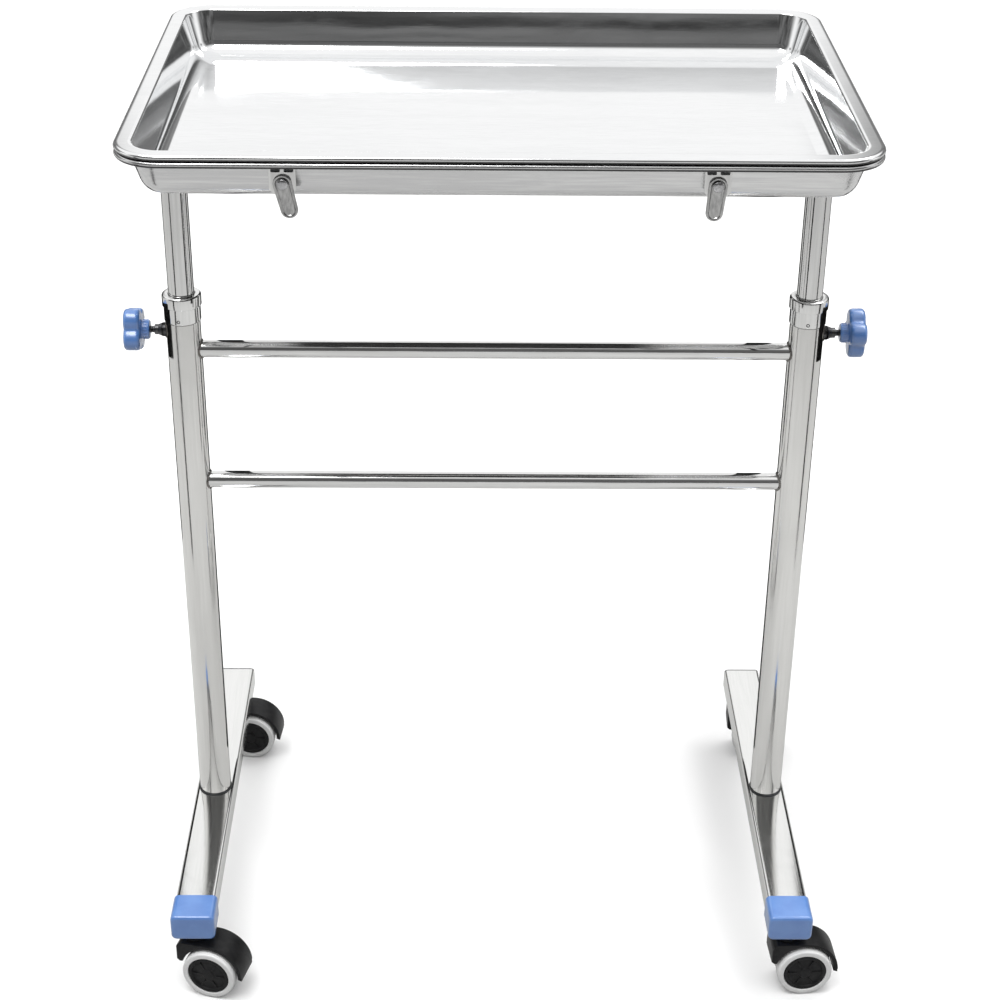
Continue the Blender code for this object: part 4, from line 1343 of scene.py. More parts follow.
@dataclass
class PostColumn(SidePart):
    """One side's telescoping post: outer tube and boss, collar, inner tube and plate."""

    outer_radius: float = 0.0127
    outer_wall: float = 0.0012
    inner_radius: float = 0.0095
    inner_wall: float = 0.0010
    collar_bore: float = 0.0098
    ring_height: float = 0.009
    sleeve_height: float = 0.012
    ring_radius: float = 0.0144
    sleeve_radius: float = 0.0135
    clamp_height: float = 0.4935
    boss_radius: float = 0.0052
    nose_radius: float = 0.0038
    boss_length: float = 0.0085
    screw_bore: float = 0.0028

    @property
    def foot(self) -> Vector:
        """The post's axis at floor level."""
        low, high = self.box("inner_post")
        return Vector(((low.x + high.x) / 2, 0.0, 0.0))

    def make_pieces(self) -> None:
        """Make every piece of the column."""
        self._outer()
        self._inner()
        self._collar()
        self._plate()
        self.shop.paint.dress_node("inner_post_bush_" + self.label, Finish.GLIDE_NYLON)

    def _outer(self) -> None:
        """Make the outer tube with its clamp boss, the boss's weld and the foot seal."""
        low, high = self.box("outer_post")
        middle = self.foot + Vector((0, 0, (low.z + high.z) / 2))
        tube = self.shop.tube(self.outer_radius, self.outer_wall, high.z - low.z,
                              Finish.LOWER_TUBE_STEEL, lip=0.0004)
        outward = Vector((self.side.value, 0.0, 0.0))
        tip = self.outer_radius + self.boss_length
        profile = softened([
            (self.screw_bore, self.outer_radius - 0.0006, 0.0),
            (self.screw_bore, tip, 0.0003), (self.nose_radius, tip, 0.0006),
            (self.nose_radius, tip - 0.0028, 0.0008),
            (self.boss_radius, self.outer_radius + 0.0022, 0.0007),
            (self.boss_radius, self.outer_radius - 0.0006, 0.0)], 4, closed=True)
        axis = self.foot + Vector((0, 0, self.clamp_height))
        solid = Solid().add(tube, Matrix.Translation(middle), weld=True)
        self.give("outer_post", "tube", solid, Finish.LOWER_TUBE_STEEL, "base")
        boss = Solid().turn(profile, 48, facing(outward, axis), hollow=True)
        self.give("clamp_boss", "", boss, Finish.BLACKED_STEEL, "base")
        bead = self.shop.weld_bead(self.saddle(axis, self.boss_radius, outward), 0.0008,
                                   2.0 + self.side.value)
        self.give("boss_weld", "", Solid().add(bead, weld=True), Finish.WELD_STEEL, "base",
                  60.0)
        seal = softened([(self.outer_radius + 0.0001, 0.0, 0.0),
                         (self.outer_radius + 0.0008, 0.0, 0.0002),
                         (self.outer_radius + 0.0006, 0.0010, 0.0003),
                         (self.outer_radius + 0.0001, 0.0012, 0.0002)], 4, closed=True)
        place = Matrix.Translation(self.foot + Vector((0, 0, low.z - 0.0002)))
        self.give("post_seal", "", Solid().turn(seal, 96, place, hollow=True),
                  Finish.DARK_PLASTIC, "base")

    def saddle(self, axis: Vector, radius: float, outward: Vector) -> list[Vector]:
        """Path where a round bar that leaves the outer post along X meets it.

        Args:
            axis: where the bar's axis crosses the post's.
            radius: radius of the bar.
            outward: the way that the bar leaves.

        Returns:
            Points along the closed path.
        """
        points = []
        for step in range(72):
            angle = math.tau * step / 72
            across = (radius + 0.0002) * math.cos(angle)
            reach = math.sqrt(self.outer_radius ** 2 - across ** 2) + 0.0001
            points.append(axis + outward * reach
                          + Vector((0.0, across, (radius + 0.0002) * math.sin(angle))))
        return points

    def _inner(self) -> None:
        """Make the inner tube."""
        low, high = self.box("inner_post")
        tube = self.shop.tube(self.inner_radius, self.inner_wall, high.z - low.z,
                              Finish.TUBE_STEEL)
        middle = self.foot + Vector((0, 0, (low.z + high.z) / 2))
        solid = Solid().add(tube, Matrix.Translation(middle), weld=True)
        self.give("inner_post", "tube", solid, Finish.TUBE_STEEL, "carriage")

    def _collar(self) -> None:
        """Make the collar with its raised ring, and the small set screw in its sleeve."""
        low, high = self.box("collar")
        ring_foot = high.z - self.ring_height
        sleeve_foot = ring_foot - self.sleeve_height
        spigot = self.outer_radius - self.outer_wall - 0.0003
        profile = softened([
            (self.collar_bore, high.z, 0.0004), (self.ring_radius, high.z, 0.0017),
            (self.ring_radius, ring_foot, 0.0009), (self.sleeve_radius, ring_foot, 0.0004),
            (self.sleeve_radius, sleeve_foot, 0.0007), (spigot, sleeve_foot, 0.0),
            (spigot, low.z, 0.0004), (self.collar_bore, low.z, 0.0)], 6, closed=True)
        solid = Solid().turn(profile, 96, Matrix.Translation(self.foot), hollow=True)
        self.give("collar", "ring", solid, Finish.TUBE_STEEL, "base")
        reach = math.sqrt(self.sleeve_radius ** 2 - 0.0015 ** 2)
        place = facing(Vector((0, -1, 0)),
                       self.foot + Vector((-0.0015, -reach, sleeve_foot + 0.0030)))
        profile = softened([(0.0014, -0.0012, 0.0), (0.0014, 0.0001, 0.0002),
                            (0.0007, 0.0001, 0.0001), (0.0007, -0.0008, 0.0),
                            (0.00004, -0.0008, 0.0)], 2)
        screw = Solid().turn([(0.00004, -0.0012), *profile], 24, place)
        self.give("collar_set_screw", "", screw, Finish.DARK_PLASTIC, "base")

    def _plate(self) -> None:
        """Make the plate that joins the inner post to the holder, and its screws."""
        low, high = self.box("post_bracket")
        middle = (low + high) / 2
        half = (high - low) / 2
        outline = rounded_rectangle(half.x, half.y, 0.006, 8)
        solid = Solid().plate(outline, high.z - low.z, 0.0005, Matrix.Translation(middle))
        self.give("post_bracket", "plate", solid, Finish.SATIN_STEEL, "carriage")
        head = softened([(0.00004, 0.0016, 0.0), (0.0022, 0.0015, 0.0008),
                         (0.0034, 0.0, 0.0003), (0.00004, 0.0, 0.0)], 4)
        screws = self.shop.repeated(Solid().turn(head, 24).as_mesh("screw"), 4, 0.0105,
                                    Finish.HARDWARE_STEEL)
        spot = Vector((self.side.value * 0.190, 0.0, low.z))
        place = Matrix.Translation(spot) @ Matrix.Rotation(math.pi, 4, "X") @ \
            Matrix.Rotation(math.radians(45.0), 4, "Z")
        self.give("bracket_screws", "", Solid().add(screws, place, weld=True),
                  Finish.HARDWARE_STEEL, "carriage")


@dataclass
class Crossbar:
    """A round bar welded between the outer posts."""

    node: str
    radius: float = 0.0065
    wall: float = 0.0012
    post_radius: float = 0.0127

    def build(self, shop: Workshop, columns: Sequence[PostColumn]) -> None:
        """Make the bar with its coped ends and its weld beads.

        Args:
            shop: the workshop.
            columns: the two posts that it joins.
        """
        low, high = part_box(self.node)
        height = (low.z + high.z) / 2
        rings = []
        posts = sorted(column.foot.x for column in columns)
        inner = self.radius - self.wall
        for radius, post, inward in ((inner, posts[0], 1), (self.radius, posts[0], 1),
                                     (self.radius, posts[1], -1), (inner, posts[1], -1)):
            ring = []
            for step in range(64):
                angle = math.tau * step / 64
                across = radius * math.cos(angle)
                reach = math.sqrt((self.post_radius + 0.0002) ** 2 - across ** 2)
                ring.append(Vector((post + inward * reach, across,
                                    height + radius * math.sin(angle))))
            rings.append(ring)
        solid = Solid().loft(rings, round_about=True)
        shop.hand_over(self.node + "_tube", solid, Finish.CROSSBAR_STEEL, "base", [self.node],
                       crease=50.0)
        for column in columns:
            inward = Vector((-column.side.value, 0.0, 0.0))
            axis = column.foot + Vector((0, 0, height))
            bead = shop.weld_bead(column.saddle(axis, self.radius, inward), 0.0009,
                                  height * 10 + column.side.value)
            shop.hand_over(f"{self.node}_weld_{column.side.label}",
                           Solid().add(bead, weld=True), Finish.WELD_STEEL, "base",
                           crease=60.0)


# ------------------------------------------------------------------ clamps

@dataclass
class Clamp(SidePart):
    """A lobed knob on a threaded screw, which pinches the inner post."""

    rest_turn: float
    lobes: int = 4
    lobe_radius: float = 0.0085
    lobe_reach: float = 0.0098
    disc: float = 0.0120
    hub_radius: float = 0.0070
    hub_length: float = 0.0060
    bore: float = 0.0028
    edge: float = 0.0030
    pitch: float = 0.0008

    def outline(self, steps: int) -> list[float]:
        """Radius of the lobed disc at each step round it, with soft waists.

        Args:
            steps: steps round the disc.

        Returns:
            The radii.
        """
        radii = []
        sector = math.tau / self.lobes
        for step in range(steps):
            angle = math.tau * step / steps - self.rest_turn - math.radians(45.0)
            away = (angle + sector / 2) % sector - sector / 2
            across = self.lobe_reach * math.sin(away)
            radii.append(self.lobe_reach * math.cos(away)
                         + math.sqrt(self.lobe_radius ** 2 - across ** 2))
        for _ in range(3):
            radii = [(radii[i - 2] + radii[i - 1] + radii[i] + radii[(i + 1) % steps]
                      + radii[(i + 2) % steps]) / 5 for i in range(steps)]
        return radii

    def make_pieces(self) -> None:
        """Make the knob and the screw."""
        outward = Vector((self.side.value, 0.0, 0.0))
        low, high = self.box("knob")
        reach = high.x if self.side is Side.RIGHT else low.x
        screw_low, screw_high = self.box("clamp_screw")
        face = Vector((reach, 0.0, (screw_low.z + screw_high.z) / 2))
        self._knob(facing(outward, face))
        self._screw(outward, face)

    def _knob(self, place: Matrix) -> None:
        """Make the knob: a lobed disc, its hub and the ribs round the hub.

        Args:
            place: where its outer face goes.
        """
        steps = 144
        radii = self.outline(steps)
        edge, disc, hub_end = self.edge, self.disc, self.disc + self.hub_length
        # Each level: depth below the outer face, inset from the lobes, share of a plain
        # circle, and that circle's radius
        levels = [(0.0007, 0.0, 1.0, 0.0001), (0.0007, 0.0, 1.0, 0.0042),
                  (0.0003, 0.0, 1.0, 0.0048), (0.0001, 0.0, 1.0, 0.0056),
                  (0.0, edge * 1.25, 0.0, 0.0)]
        levels += [(edge * (1 - math.sin(a)), edge * (1 - math.cos(a)), 0.0, 0.0)
                   for a in (math.radians(90 - 15 * i) for i in range(1, 7))]
        levels += [(disc - edge * (1 - math.sin(a)), edge * (1 - math.cos(a)), 0.0, 0.0)
                   for a in (math.radians(15 * i) for i in range(0, 7))]
        hub = self.hub_radius
        levels += [(disc, 0.0, 1.0, hub + 0.0009), (disc + 0.0003, 0.0, 1.0, hub + 0.0002),
                   (disc + 0.0010, 0.0, 1.0, hub), (hub_end - 0.0010, 0.0, 1.0, hub),
                   (hub_end - 0.0003, 0.0, 1.0, hub - 0.0003),
                   (hub_end, 0.0, 1.0, hub - 0.0010),
                   (hub_end, 0.0, 1.0, self.bore + 0.0003), (hub_end - 0.0003, 0.0, 1.0,
                                                             self.bore),
                   (disc - 0.0070, 0.0, 1.0, self.bore), (disc - 0.0070, 0.0, 1.0, 0.0001)]
        rings = []
        for depth, inset, plain, circle in levels:
            ring = []
            for step in range(steps):
                angle = math.tau * step / steps
                radius = circle if plain else radii[step] - inset
                ring.append(Vector((radius * math.cos(angle), radius * math.sin(angle),
                                    -depth)))
            rings.append(ring)
        solid = Solid().loft(rings, place)
        rib = softened([(-0.0008, -0.0004, 0.0), (0.0003, -0.0004, 0.0002),
                        (0.0003, 0.0004, 0.0002), (-0.0008, 0.0004, 0.0)], 2, closed=True)
        bar = Solid().plate(rib, 0.0036, 0.0001, edge_steps=0).as_mesh("rib")
        ribs = self.shop.repeated(bar, 18, hub, Finish.BLUE_PLASTIC)
        middle = Matrix.Translation((0.0, 0.0, -(disc + self.hub_length / 2)))
        solid.add(ribs, place @ middle)
        self.give("knob", "lobed", solid, Finish.BLUE_PLASTIC, "clamp_knob_" + self.label,
                  40.0)

    def _screw(self, outward: Vector, face: Vector) -> None:
        """Make the threaded screw.

        Args:
            outward: the way that it leaves the post.
            face: middle of the knob's outer face.
        """
        low, high = self.box("clamp_screw")
        length, radius = high.x - low.x, (high.z - low.z) / 2
        start = low.x if self.side is Side.RIGHT else high.x
        ridge, lead = 0.0003, 0.0012
        core = radius - ridge
        profile = softened([(0.00004, length, 0.0), (core, length, 0.0002),
                            (core, lead, 0.0002), (core - 0.0006, 0.0, 0.0002),
                            (0.00004, 0.0, 0.0)], 3)
        rod = Solid().turn(profile, 32).as_mesh("core")
        run = length - 2 * lead
        thread = self.shop.nodes.run(self.shop.nodes.thread, rod, Core_Radius=core,
                                     Ridge=ridge, Length=run, Turns=run / self.pitch,
                                     Material=self.shop.paint.material(Finish.BLACKED_STEEL))
        place = facing(outward, Vector((start, 0.0, face.z)))
        solid = Solid().add(thread, place)
        self.give("clamp_screw", "threaded", solid, Finish.BLACKED_STEEL,
                  "screw_" + self.label)


# ------------------------------------------------------------------ base

@dataclass
class BaseRail(SidePart):
    """A base rail: rectangular tube, blue front cap, rear plug and the post's bolt."""

    wall: float = 0.0015
    corner: float = 0.0030
    cap_edge: float = 0.0026
    cap_corner: float = 0.0042
    fit: float = 0.0003
    middle: Vector = field(init=False)
    half: Vector = field(init=False)

    def __post_init__(self) -> None:
        """Read the rail's place and size from the frame."""
        low, high = self.box("base_rail")
        self.middle, self.half = (low + high) / 2, (high - low) / 2

    def make_pieces(self) -> None:
        """Make the rail and what closes its ends."""
        low, high = self.box("base_rail")
        rings = []
        for inset, corner, y in ((0.0, self.corner, low.y), (0.0, self.corner, high.y),
                                 (self.wall, self.corner - self.wall, high.y),
                                 (self.wall, self.corner - self.wall, low.y)):
            rings.append(self._ring(self.half.x - inset, self.half.z - inset, corner, y))
        solid = Solid().loft(rings, round_about=True)
        self.give("base_rail", "tube", solid, Finish.RAIL_STEEL, "base")
        self._cap(low.y)
        self._plug()
        self._bolt()

    def _ring(self, half_x: float, half_z: float, corner: float, y: float) -> Ring:
        """One rounded rectangle across the rail.

        Args:
            half_x: half its width.
            half_z: half its height.
            corner: radius of its corners.
            y: where it stands along the rail.

        Returns:
            The ring's points.
        """
        return [Vector((self.middle.x + x, y, self.middle.z + z))
                for x, z in rounded_rectangle(half_x, half_z, corner, 8)]

    def _cap(self, rail_end: float) -> None:
        """Make the front cap, a hollow box with soft edges.

        Args:
            rail_end: front end of the rail along Y.
        """
        low, high = self.box("rail_cap_front")
        half_x, half_z = (high.x - low.x) / 2, (high.z - low.z) / 2
        edge, corner = self.cap_edge, self.cap_corner
        rings = [self._ring(half_x - edge * 1.8, half_z - edge * 1.8, 0.0012, low.y)]
        for step in range(7):
            angle = math.radians(15 * step)
            inset = edge * (1 - math.sin(angle))
            rings.append(self._ring(half_x - inset, half_z - inset, corner - inset * 0.8,
                                    low.y + edge * (1 - math.cos(angle))))
        lip = high.y - 0.0004
        mouth_x, mouth_z = self.half.x + self.fit, self.half.z + self.fit
        rings += [self._ring(half_x, half_z, corner, lip),
                  self._ring(half_x - 0.0004, half_z - 0.0004, corner - 0.0004, high.y),
                  self._ring(mouth_x, mouth_z, self.corner + self.fit, high.y),
                  self._ring(mouth_x, mouth_z, self.corner + self.fit, rail_end - self.fit)]
        solid = Solid().loft(rings)
        self.give("rail_cap_front", "moulded", solid, Finish.BLUE_PLASTIC, "base", 40.0)

    def _plug(self) -> None:
        """Make the rear plug: a thin flange and its tongue."""
        low, high = self.box("rail_plug_rear")
        half, corner, flange = self.half, self.corner, 0.0015
        tongue = self.wall + self.fit
        rings = [self._ring(half.x - tongue, half.z - tongue, 0.0012, low.y),
                 self._ring(half.x - tongue, half.z - tongue, 0.0012, high.y - flange),
                 self._ring(half.x, half.z, corner, high.y - flange),
                 self._ring(half.x, half.z, corner, high.y - 0.0006),
                 self._ring(half.x - 0.0002, half.z - 0.0002, corner, high.y - 0.0002),
                 self._ring(half.x - 0.0006, half.z - 0.0006, corner, high.y),
                 self._ring(half.x - 0.0040, half.z - 0.0040, corner, high.y),
                 self._ring(half.x - 0.0046, half.z - 0.0046, corner, high.y - 0.0004)]
        self.give("rail_plug_rear", "moulded", Solid().loft(rings), Finish.DARK_PLASTIC,
                  "base")

    def _bolt(self) -> None:
        """Make the post's bolt, with a hexagon socket in its head."""
        low, high = self.box("post_bolt")
        head, shank = (high.x - low.x) / 2, 0.0040
        shoulder = self.middle.z - self.half.z - self.fit
        socket = 0.0030
        profile = softened([(0.00005, high.z, 0.0), (shank - 0.0008, high.z, 0.0),
                            (shank, high.z - 0.0008, 0.0), (shank, shoulder, 0.0),
                            (head, shoulder, 0.0003), (head, low.z, 0.0009),
                            (socket + 0.0006, low.z, 0.0002)], 3)
        count = len(profile)
        profile += [(socket, low.z + 0.0002), (socket, low.z + 0.0026),
                    (0.00005, low.z + 0.0026)]

        def hexagon(angle: float, ring: int) -> float:
            """Radius at an angle, six-sided in the socket."""
            if count <= ring < count + 2:
                away = (angle + math.pi / 6) % (math.pi / 3) - math.pi / 6
                return socket * math.cos(math.pi / 6) / math.cos(away)
            return profile[ring][0]

        place = Matrix.Translation((self.middle.x, 0.0, 0.0))
        solid = Solid().turn(profile, 48, place, bend=hexagon)
        self.give("post_bolt", "socket_head", solid, Finish.HARDWARE_STEEL, "base")


# ------------------------------------------------------------------ casters

@dataclass
class Caster(SidePart):
    """A twin-wheel swivel caster: stem, hood, axle, and two wheels of tread and hub."""

    end: End
    yaw: float
    trail: float = 0.014
    wheel_radius: float = 0.0215
    wheel_width: float = 0.0114
    spread: float = 0.0300
    hub_radius: float = 0.0165
    hood_radius: float = 0.0265
    hood_inner: float = 0.0232
    hood_width: float = 0.0250
    hood_front: float = 0.0125
    hood_shoulder: float = 0.0060
    web: float = 0.0050
    web_eye: float = 0.0068
    boss_radius: float = 0.0090
    socket_radius: float = 0.0045
    axle_bore: float = 0.0035

    @property
    def name(self) -> str:
        """Name of the corner, as the nodes spell it."""
        return f"{self.end.value}_{self.label}"

    def swivel(self) -> Matrix:
        """The swivel's place on the floor, with +X towards the trailing side."""
        low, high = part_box(f"caster_{self.name}_stem")
        spot = Vector(((low.x + high.x) / 2, (low.y + high.y) / 2, 0.0))
        return Matrix.Translation(spot) @ Matrix.Rotation(self.yaw, 4, "Z")

    def make_pieces(self) -> None:
        """Make every piece of the caster."""
        turn = self.swivel()
        axle = turn @ Matrix.Translation((self.trail, 0.0, self.wheel_radius))
        self._hood(turn, axle)
        for face in Face:
            self._wheel(axle, face)
        self.shop.paint.dress_node(f"caster_{self.name}_stem", Finish.HARDWARE_STEEL)
        self.shop.paint.dress_node(f"caster_{self.name}_axle", Finish.HARDWARE_STEEL)

    def _hood(self, turn: Matrix, axle: Matrix) -> None:
        """Make the hood, its web between the wheels and its swivel boss.

        Args:
            turn: the swivel's place.
            axle: the axle's place.
        """
        front = -self.trail - self.hood_front
        shoulder, outer, inner = self.hood_shoulder, self.hood_radius, self.hood_inner
        outline = arc((0.0, 0.0), outer, -5, 92, 36)
        outline += arc((front + shoulder, outer - shoulder), shoulder, 90, 180, 10)
        outline += [(front, 0.0095), (front + 0.0022, 0.0075)]
        outline += arc((0.0, 0.0), inner, 161, -3, 56)
        solid = Solid().plate(outline, self.hood_width, 0.0014, axle @ UPRIGHT, edge_steps=3)
        # A raised lip along each edge of the hood's back
        lip = arc((0.0, 0.0), outer - 0.0001, 2, 92, 30)
        lip += arc((front + shoulder, outer - shoulder), shoulder - 0.0001, 90, 168, 8)
        lip += arc((front + shoulder, outer - shoulder), shoulder - 0.0014, 168, 90, 8)
        lip += arc((0.0, 0.0), outer - 0.0014, 92, 2, 30)
        for hand in (-1, 1):
            edge = Matrix.Translation((0.0, hand * (self.hood_width / 2 - 0.0006), 0.0))
            solid.plate(lip, 0.0012, 0.0003, axle @ edge @ UPRIGHT)
        eye = self.axle_bore - 0.0002
        web = arc((0.0, 0.0), inner + 0.001, 12, 150, 30)
        web += arc((0.0, 0.0), self.web_eye, 160, 380, 24)
        hole = arc((0.0, 0.0), eye, 0, 345, 23)
        solid.plate(web, self.web, 0.0004, axle @ UPRIGHT, [hole])
        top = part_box(f"caster_{self.name}_hood")[1].z
        boss_foot = self.wheel_radius + outer - 0.0015
        profile = softened([(self.socket_radius, boss_foot - 0.001, 0.0),
                            (self.socket_radius, top, 0.0003), (self.boss_radius, top, 0.0012),
                            (self.boss_radius, boss_foot, 0.0)], 4, closed=True)
        solid.turn(profile, 48, turn, hollow=True)
        self.shop.hand_over(f"caster_{self.name}_hood_moulded", solid, Finish.CASTER_BLACK,
                            "swivel_" + self.name, [f"caster_{self.name}_hood"], crease=40.0)

    def _wheel(self, axle: Matrix, face: Face) -> None:
        """Make a wheel's tread and its hub with a dished, ribbed face.

        Args:
            axle: the axle's place.
            face: which wheel it is.
        """
        quarter = 90.0 if face is Face.FRONT else -90.0
        place = axle @ Matrix.Rotation(math.radians(quarter), 4, "X") @ \
            Matrix.Translation((0.0, 0.0, self.spread / 2))
        width, radius, hub = self.wheel_width, self.wheel_radius, self.hub_radius
        tag = f"caster_{self.name}"
        body = f"wheel_{self.name}_{face.value}"
        inner = hub + 0.0003
        tread = softened([(inner, 0.0, 0.0003), (radius - 0.0004, 0.0, 0.0014),
                          (radius, -0.0030, 0.0030), (radius, -width + 0.0030, 0.0030),
                          (radius - 0.0004, -width, 0.0014), (inner, -width, 0.0003)],
                         6, closed=True)
        solid = Solid().turn(tread, 96, place, hollow=True)
        self.shop.hand_over(f"{tag}_tread_{face.value}_moulded", solid, Finish.TREAD_WHITE,
                            body, [f"{tag}_tread_{face.value}"], crease=40.0)
        cup = softened([(0.0001, 0.0, 0.0), (0.0042, 0.0, 0.0006), (0.0050, -0.0010, 0.0004),
                        (hub - 0.0036, -0.0016, 0.0006), (hub - 0.0026, -0.0002, 0.0005),
                        (hub, -0.0002, 0.0008), (hub, -width, 0.0003),
                        (self.axle_bore, -width, 0.0), (self.axle_bore, -0.0030, 0.0),
                        (0.0001, -0.0030, 0.0)], 4)
        solid = Solid().turn(cup, 72, place)
        rib = softened([(-0.0032, -0.0007, 0.0004), (0.0036, -0.0004, 0.0003),
                        (0.0036, 0.0004, 0.0003), (-0.0032, 0.0007, 0.0004)], 2, closed=True)
        bar = Solid().plate(rib, 0.0012, 0.0002, edge_steps=1).as_mesh("rib")
        ribs = self.shop.repeated(bar, 6, (hub - 0.0026 + 0.0042) / 2, Finish.CASTER_BLACK)
        solid.add(ribs, place @ Matrix.Translation((0.0, 0.0, -0.0012)))
        self.shop.hand_over(f"{tag}_hub_{face.value}_dished", solid, Finish.CASTER_BLACK,
                            body, [f"{tag}_hub_{face.value}"], crease=40.0)


# ------------------------------------------------------------------ studio

@dataclass
class Studio:
    """Camera, pale floor, soft light and the dark flags that steel needs to read."""

    eye: tuple[float, float, float] = (-0.0177, -1.388, 1.124)
    heading: float = math.radians(0.924)
    dip: float = math.radians(29.126)
    roll: float = math.radians(0.689)
    lens: float = 74.03
    sky: float = 1.0
    flag_distance: float = 0.42
    near_flag_distance: float = 0.050
    flag_foot: float = 0.080
    near_front_flag_foot: float = 0.505
    flag_height: float = 0.62
    flag_bearings: tuple[tuple[float, float], ...] = (
        (-40.0, 0.075), (58.0, 0.085), (-145.0, 0.26), (145.0, 0.26))
    boss_strip_offset: float = 0.0158
    boss_strip_half: float = 0.0125
    boss_strip_span: tuple[float, float] = (0.472, 0.516)

    def build(self) -> None:
        """Set up the camera, the floor, the light and the flags."""
        self._camera()
        self._floor()
        self._world()
        self._lights()
        self._flags()

    def _camera(self) -> None:
        """Place the camera and make it the scene's."""
        forward = Vector((math.sin(self.heading) * math.cos(self.dip),
                          math.cos(self.heading) * math.cos(self.dip), -math.sin(self.dip)))
        right = forward.cross(Vector((0, 0, 1))).normalized()
        up = right.cross(forward)
        level_right = right * math.cos(self.roll) + up * math.sin(self.roll)
        level_up = up * math.cos(self.roll) - right * math.sin(self.roll)
        matrix = Matrix((level_right, level_up, -forward)).transposed().to_4x4()
        data = bpy.data.cameras.new("camera")
        data.lens = self.lens
        data.sensor_width = 36.0
        camera = bpy.data.objects.new("camera", data)
        camera.matrix_world = Matrix.Translation(self.eye) @ matrix
        bpy.context.scene.collection.objects.link(camera)
        bpy.context.scene.camera = camera

    def _floor(self) -> None:
        """Lay the floor: white to the eye, a softer grey in the steel."""
        mesh = bpy.data.meshes.new("floor")
        reach = 9.0
        mesh.from_pydata([(-reach, -reach, 0), (reach, -reach, 0), (reach, reach, 0),
                          (-reach, reach, 0)], [], [(0, 1, 2, 3)])
        item = bpy.data.objects.new("studio_floor", mesh)
        bpy.context.scene.collection.objects.link(item)
        material, net, shader, place = start_material("studio_floor_paint")
        path = net.add("ShaderNodeLightPath")
        speck = net.span(net.noise(place, 3.0, 2.0), 0.3, 0.7, 0.0, 1.0)
        white = net.blend(speck, (0.93, 0.93, 0.93, 1.0), (0.95, 0.95, 0.95, 1.0))
        grey = net.blend(path.outputs["Is Glossy Ray"], white, (0.50, 0.50, 0.495, 1.0))
        grey = net.blend(path.outputs["Is Diffuse Ray"], grey, (0.26, 0.26, 0.26, 1.0))
        net.feed(shader.inputs["Base Color"], grey)
        shader.inputs["Roughness"].default_value = 0.9
        shader.inputs["Specular IOR Level"].default_value = 0.0
        mesh.materials.append(material)

    def _world(self) -> None:
        """Paint the sky: a bright dome, which steel sees as white with dark low screens."""
        world = bpy.data.worlds.new("studio")
        world.use_nodes = True
        bpy.context.scene.world = world
        net = NodeNet(world.node_tree)
        back = world.node_tree.nodes["Background"]
        view = net.add("ShaderNodeTexCoord").outputs["Generated"]
        across, depth, rise = net.parts(view)
        stretched = net.scaled(view, (3.0, 3.0, 22.0))
        streak = net.span(net.noise(stretched, 1.6, 4.0, 0.6), 0.35, 0.68, 0.84, 1.0)
        front = net.span(depth, -0.45, 0.0, 1.0, 0.0)
        band = net.math("MULTIPLY", net.span(rise, -0.02, 0.02, 0.0, 1.0),
                        net.span(rise, 0.60, 0.86, 1.0, 0.0))
        dark = net.math("MULTIPLY", net.math("MULTIPLY", front, band), 0.97)
        aside = net.math("ABSOLUTE", across)
        wing = net.math("MULTIPLY", net.span(aside, 0.15, 0.21, 0.0, 1.0),
                        net.span(aside, 0.93, 0.99, 1.0, 0.0))
        wing = net.math("MULTIPLY", wing, net.span(rise, 0.34, 0.50, 0.88, 0.0))
        wing = net.math("MULTIPLY", wing, net.span(depth, -0.1, 0.1, 0.0, 1.0))
        dark = net.math("MULTIPLY", net.math("MAXIMUM", dark, wing), streak)
        mirrored = net.math("SUBTRACT", 1.0, dark)
        path = net.add("ShaderNodeLightPath")
        dome = net.span(rise, 0.40, 0.80, 0.22, 1.75)
        soft = path.outputs["Is Diffuse Ray"]
        lit = net.math("MULTIPLY", dome, soft)
        seen = net.math("MULTIPLY", mirrored, net.math("SUBTRACT", 1.0, soft))
        sky = net.math("MAXIMUM", net.math("ADD", lit, seen), path.outputs["Is Camera Ray"])
        net.feed(back.inputs["Color"], sky)
        back.inputs["Strength"].default_value = self.sky

    def _lights(self) -> None:
        """Hang the soft lights."""
        rigs = (("key", (-0.5, -0.5, 2.1), 1.1, 14.0), ("fill", (0.9, 0.5, 1.9), 0.9, 8.0))
        for name, place, size, power in rigs:
            data = bpy.data.lights.new(name, "AREA")
            data.shape = "RECTANGLE"
            data.size = size
            data.size_y = size * 0.6
            data.energy = power
            item = bpy.data.objects.new(name, data)
            item.matrix_world = facing(Vector(place) - Vector((0, 0, 0.5)), Vector(place))
            bpy.context.scene.collection.objects.link(item)

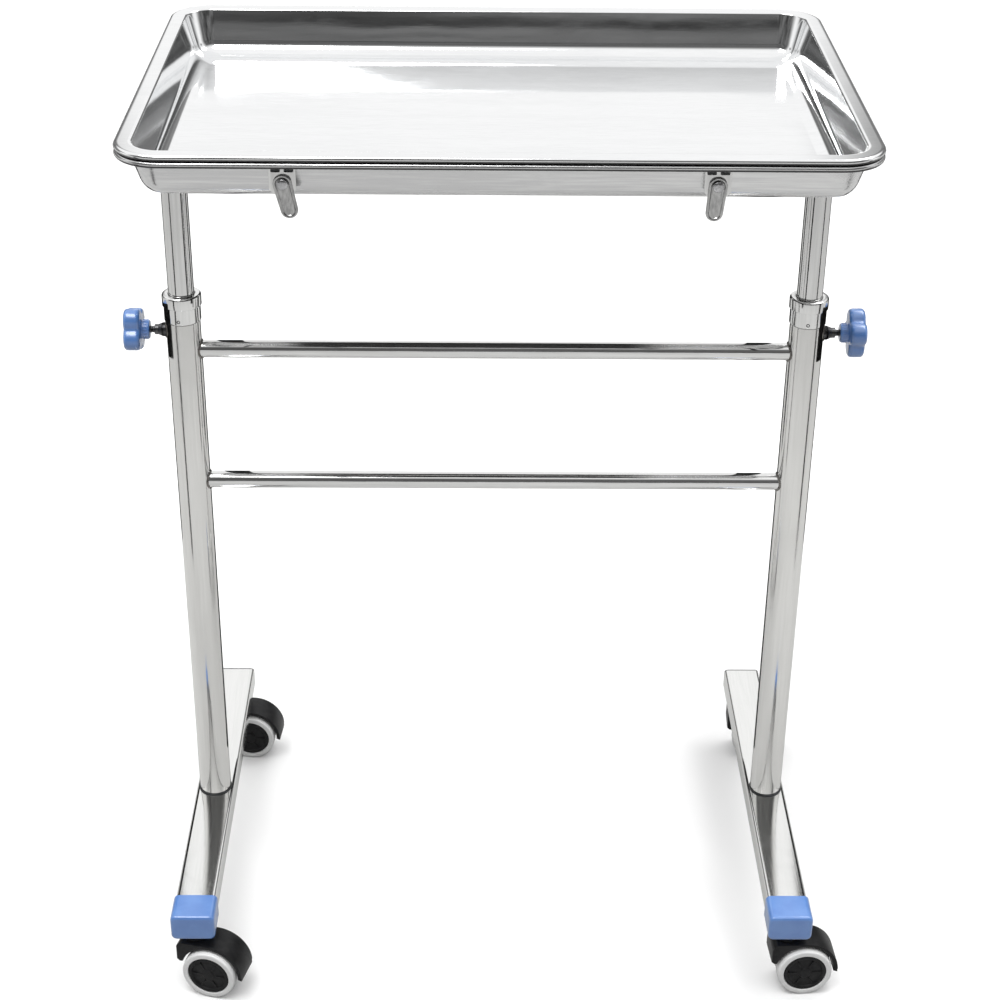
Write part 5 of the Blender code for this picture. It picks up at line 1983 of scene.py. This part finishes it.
    def _flags(self) -> None:
        """Stand dark panels where the posts reflect them; nothing else sees them."""
        material, net, shader, place = start_material("studio_flag_cloth")
        cloth = net.blend(net.noise(place, 40.0, 2.0), (0.015, 0.015, 0.016, 1.0),
                          (0.03, 0.03, 0.03, 1.0))
        net.feed(shader.inputs["Base Color"], cloth)
        shader.inputs["Roughness"].default_value = 1.0
        for side in Side:
            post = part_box("inner_post_" + side.label)
            middle = (post[0].x + post[1].x) / 2
            boss = Vector((middle + side.value * self.boss_strip_offset, 0.0, 0.0))
            panels = [(boss, Vector((0.0, self.boss_strip_half, 0.0)), *self.boss_strip_span)]
            for bearing, spread in self.flag_bearings:
                angle = math.radians(bearing)
                outside = bearing * side.value > 0.0
                distance = self.flag_distance if outside else self.near_flag_distance
                near_front = not outside and abs(bearing) < 90.0
                foot = self.near_front_flag_foot if near_front else self.flag_foot
                away = Vector((math.sin(angle), -math.cos(angle), 0.0))
                across = Vector((away.y, -away.x, 0.0)) * (spread * distance)
                centre = Vector((middle, 0.0, 0.0)) + away * distance
                panels.append((centre, across, foot, self.flag_height))
            for centre, across, foot, top in panels:
                low, high = Vector((0, 0, foot)), Vector((0, 0, top))
                self._flag([centre - across + low, centre + across + low,
                            centre + across + high, centre - across + high], material)

    def _flag(self, corners: Sequence[Vector], material: bpy.types.Material) -> None:
        """Stand one panel that only reflections see.

        Args:
            corners: its four corners.
            material: its cloth.
        """
        mesh = bpy.data.meshes.new("studio_flag")
        mesh.from_pydata(list(corners), [], [(0, 1, 2, 3)])
        mesh.materials.append(material)
        item = bpy.data.objects.new("studio_flag", mesh)
        bpy.context.scene.collection.objects.link(item)
        item.visible_camera = False
        item.visible_diffuse = False
        item.visible_shadow = False


# ------------------------------------------------------------------ the whole cart

@dataclass
class InstrumentCart:
    """The cart as one object, made of its sub-assemblies."""

    columns: list[PostColumn] = field(default_factory=lambda: [PostColumn(s) for s in Side])
    trays: list[PressedTray] = field(default_factory=lambda: [
        PressedTray("instrument_tray_pressed", "instrument_tray", "tray",
                    Finish.MIRROR_STEEL, 0.0120, 0.0130, 0.0010),
        PressedTray("tray_holder_pressed", "tray_holder", "carriage", Finish.SATIN_STEEL,
                    0.0106, 0.0144, 0.0012)])
    latches: list[Latch] = field(default_factory=lambda: [
        Latch(Side.LEFT, math.radians(13.0)), Latch(Side.RIGHT, math.radians(-5.0))])
    crossbars: list[Crossbar] = field(default_factory=lambda: [
        Crossbar("upper_crossbar"), Crossbar("lower_crossbar")])
    clamps: list[Clamp] = field(default_factory=lambda: [
        Clamp(Side.LEFT, math.radians(21.0)), Clamp(Side.RIGHT, math.radians(27.0))])
    rails: list[BaseRail] = field(default_factory=lambda: [BaseRail(s) for s in Side])
    casters: list[Caster] = field(default_factory=lambda: [
        Caster(Side.LEFT, End.FRONT, math.radians(-15.0)),
        Caster(Side.RIGHT, End.FRONT, math.radians(3.0)),
        Caster(Side.LEFT, End.REAR, math.radians(-5.0)),
        Caster(Side.RIGHT, End.REAR, math.radians(-3.0))])

    def build(self, shop: Workshop) -> None:
        """Make the sub-assemblies in order, from the floor up.

        Args:
            shop: the workshop.
        """
        for part in (*self.casters, *self.rails, *self.columns):
            part.build(shop)
        for bar in self.crossbars:
            bar.build(shop, self.columns)
        for part in (*self.clamps, *self.trays, *self.latches):
            part.build(shop)


def main() -> None:
    """Build the cart and the studio."""
    logging.basicConfig(level=logging.INFO, format="%(name)s: %(message)s")
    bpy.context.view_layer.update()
    shop = Workshop(Paintbox(), NodeShapes())
    InstrumentCart().build(shop)
    Studio().build()
    bpy.context.scene.view_settings.view_transform = "Standard"


if __name__ == "__main__":
    main()
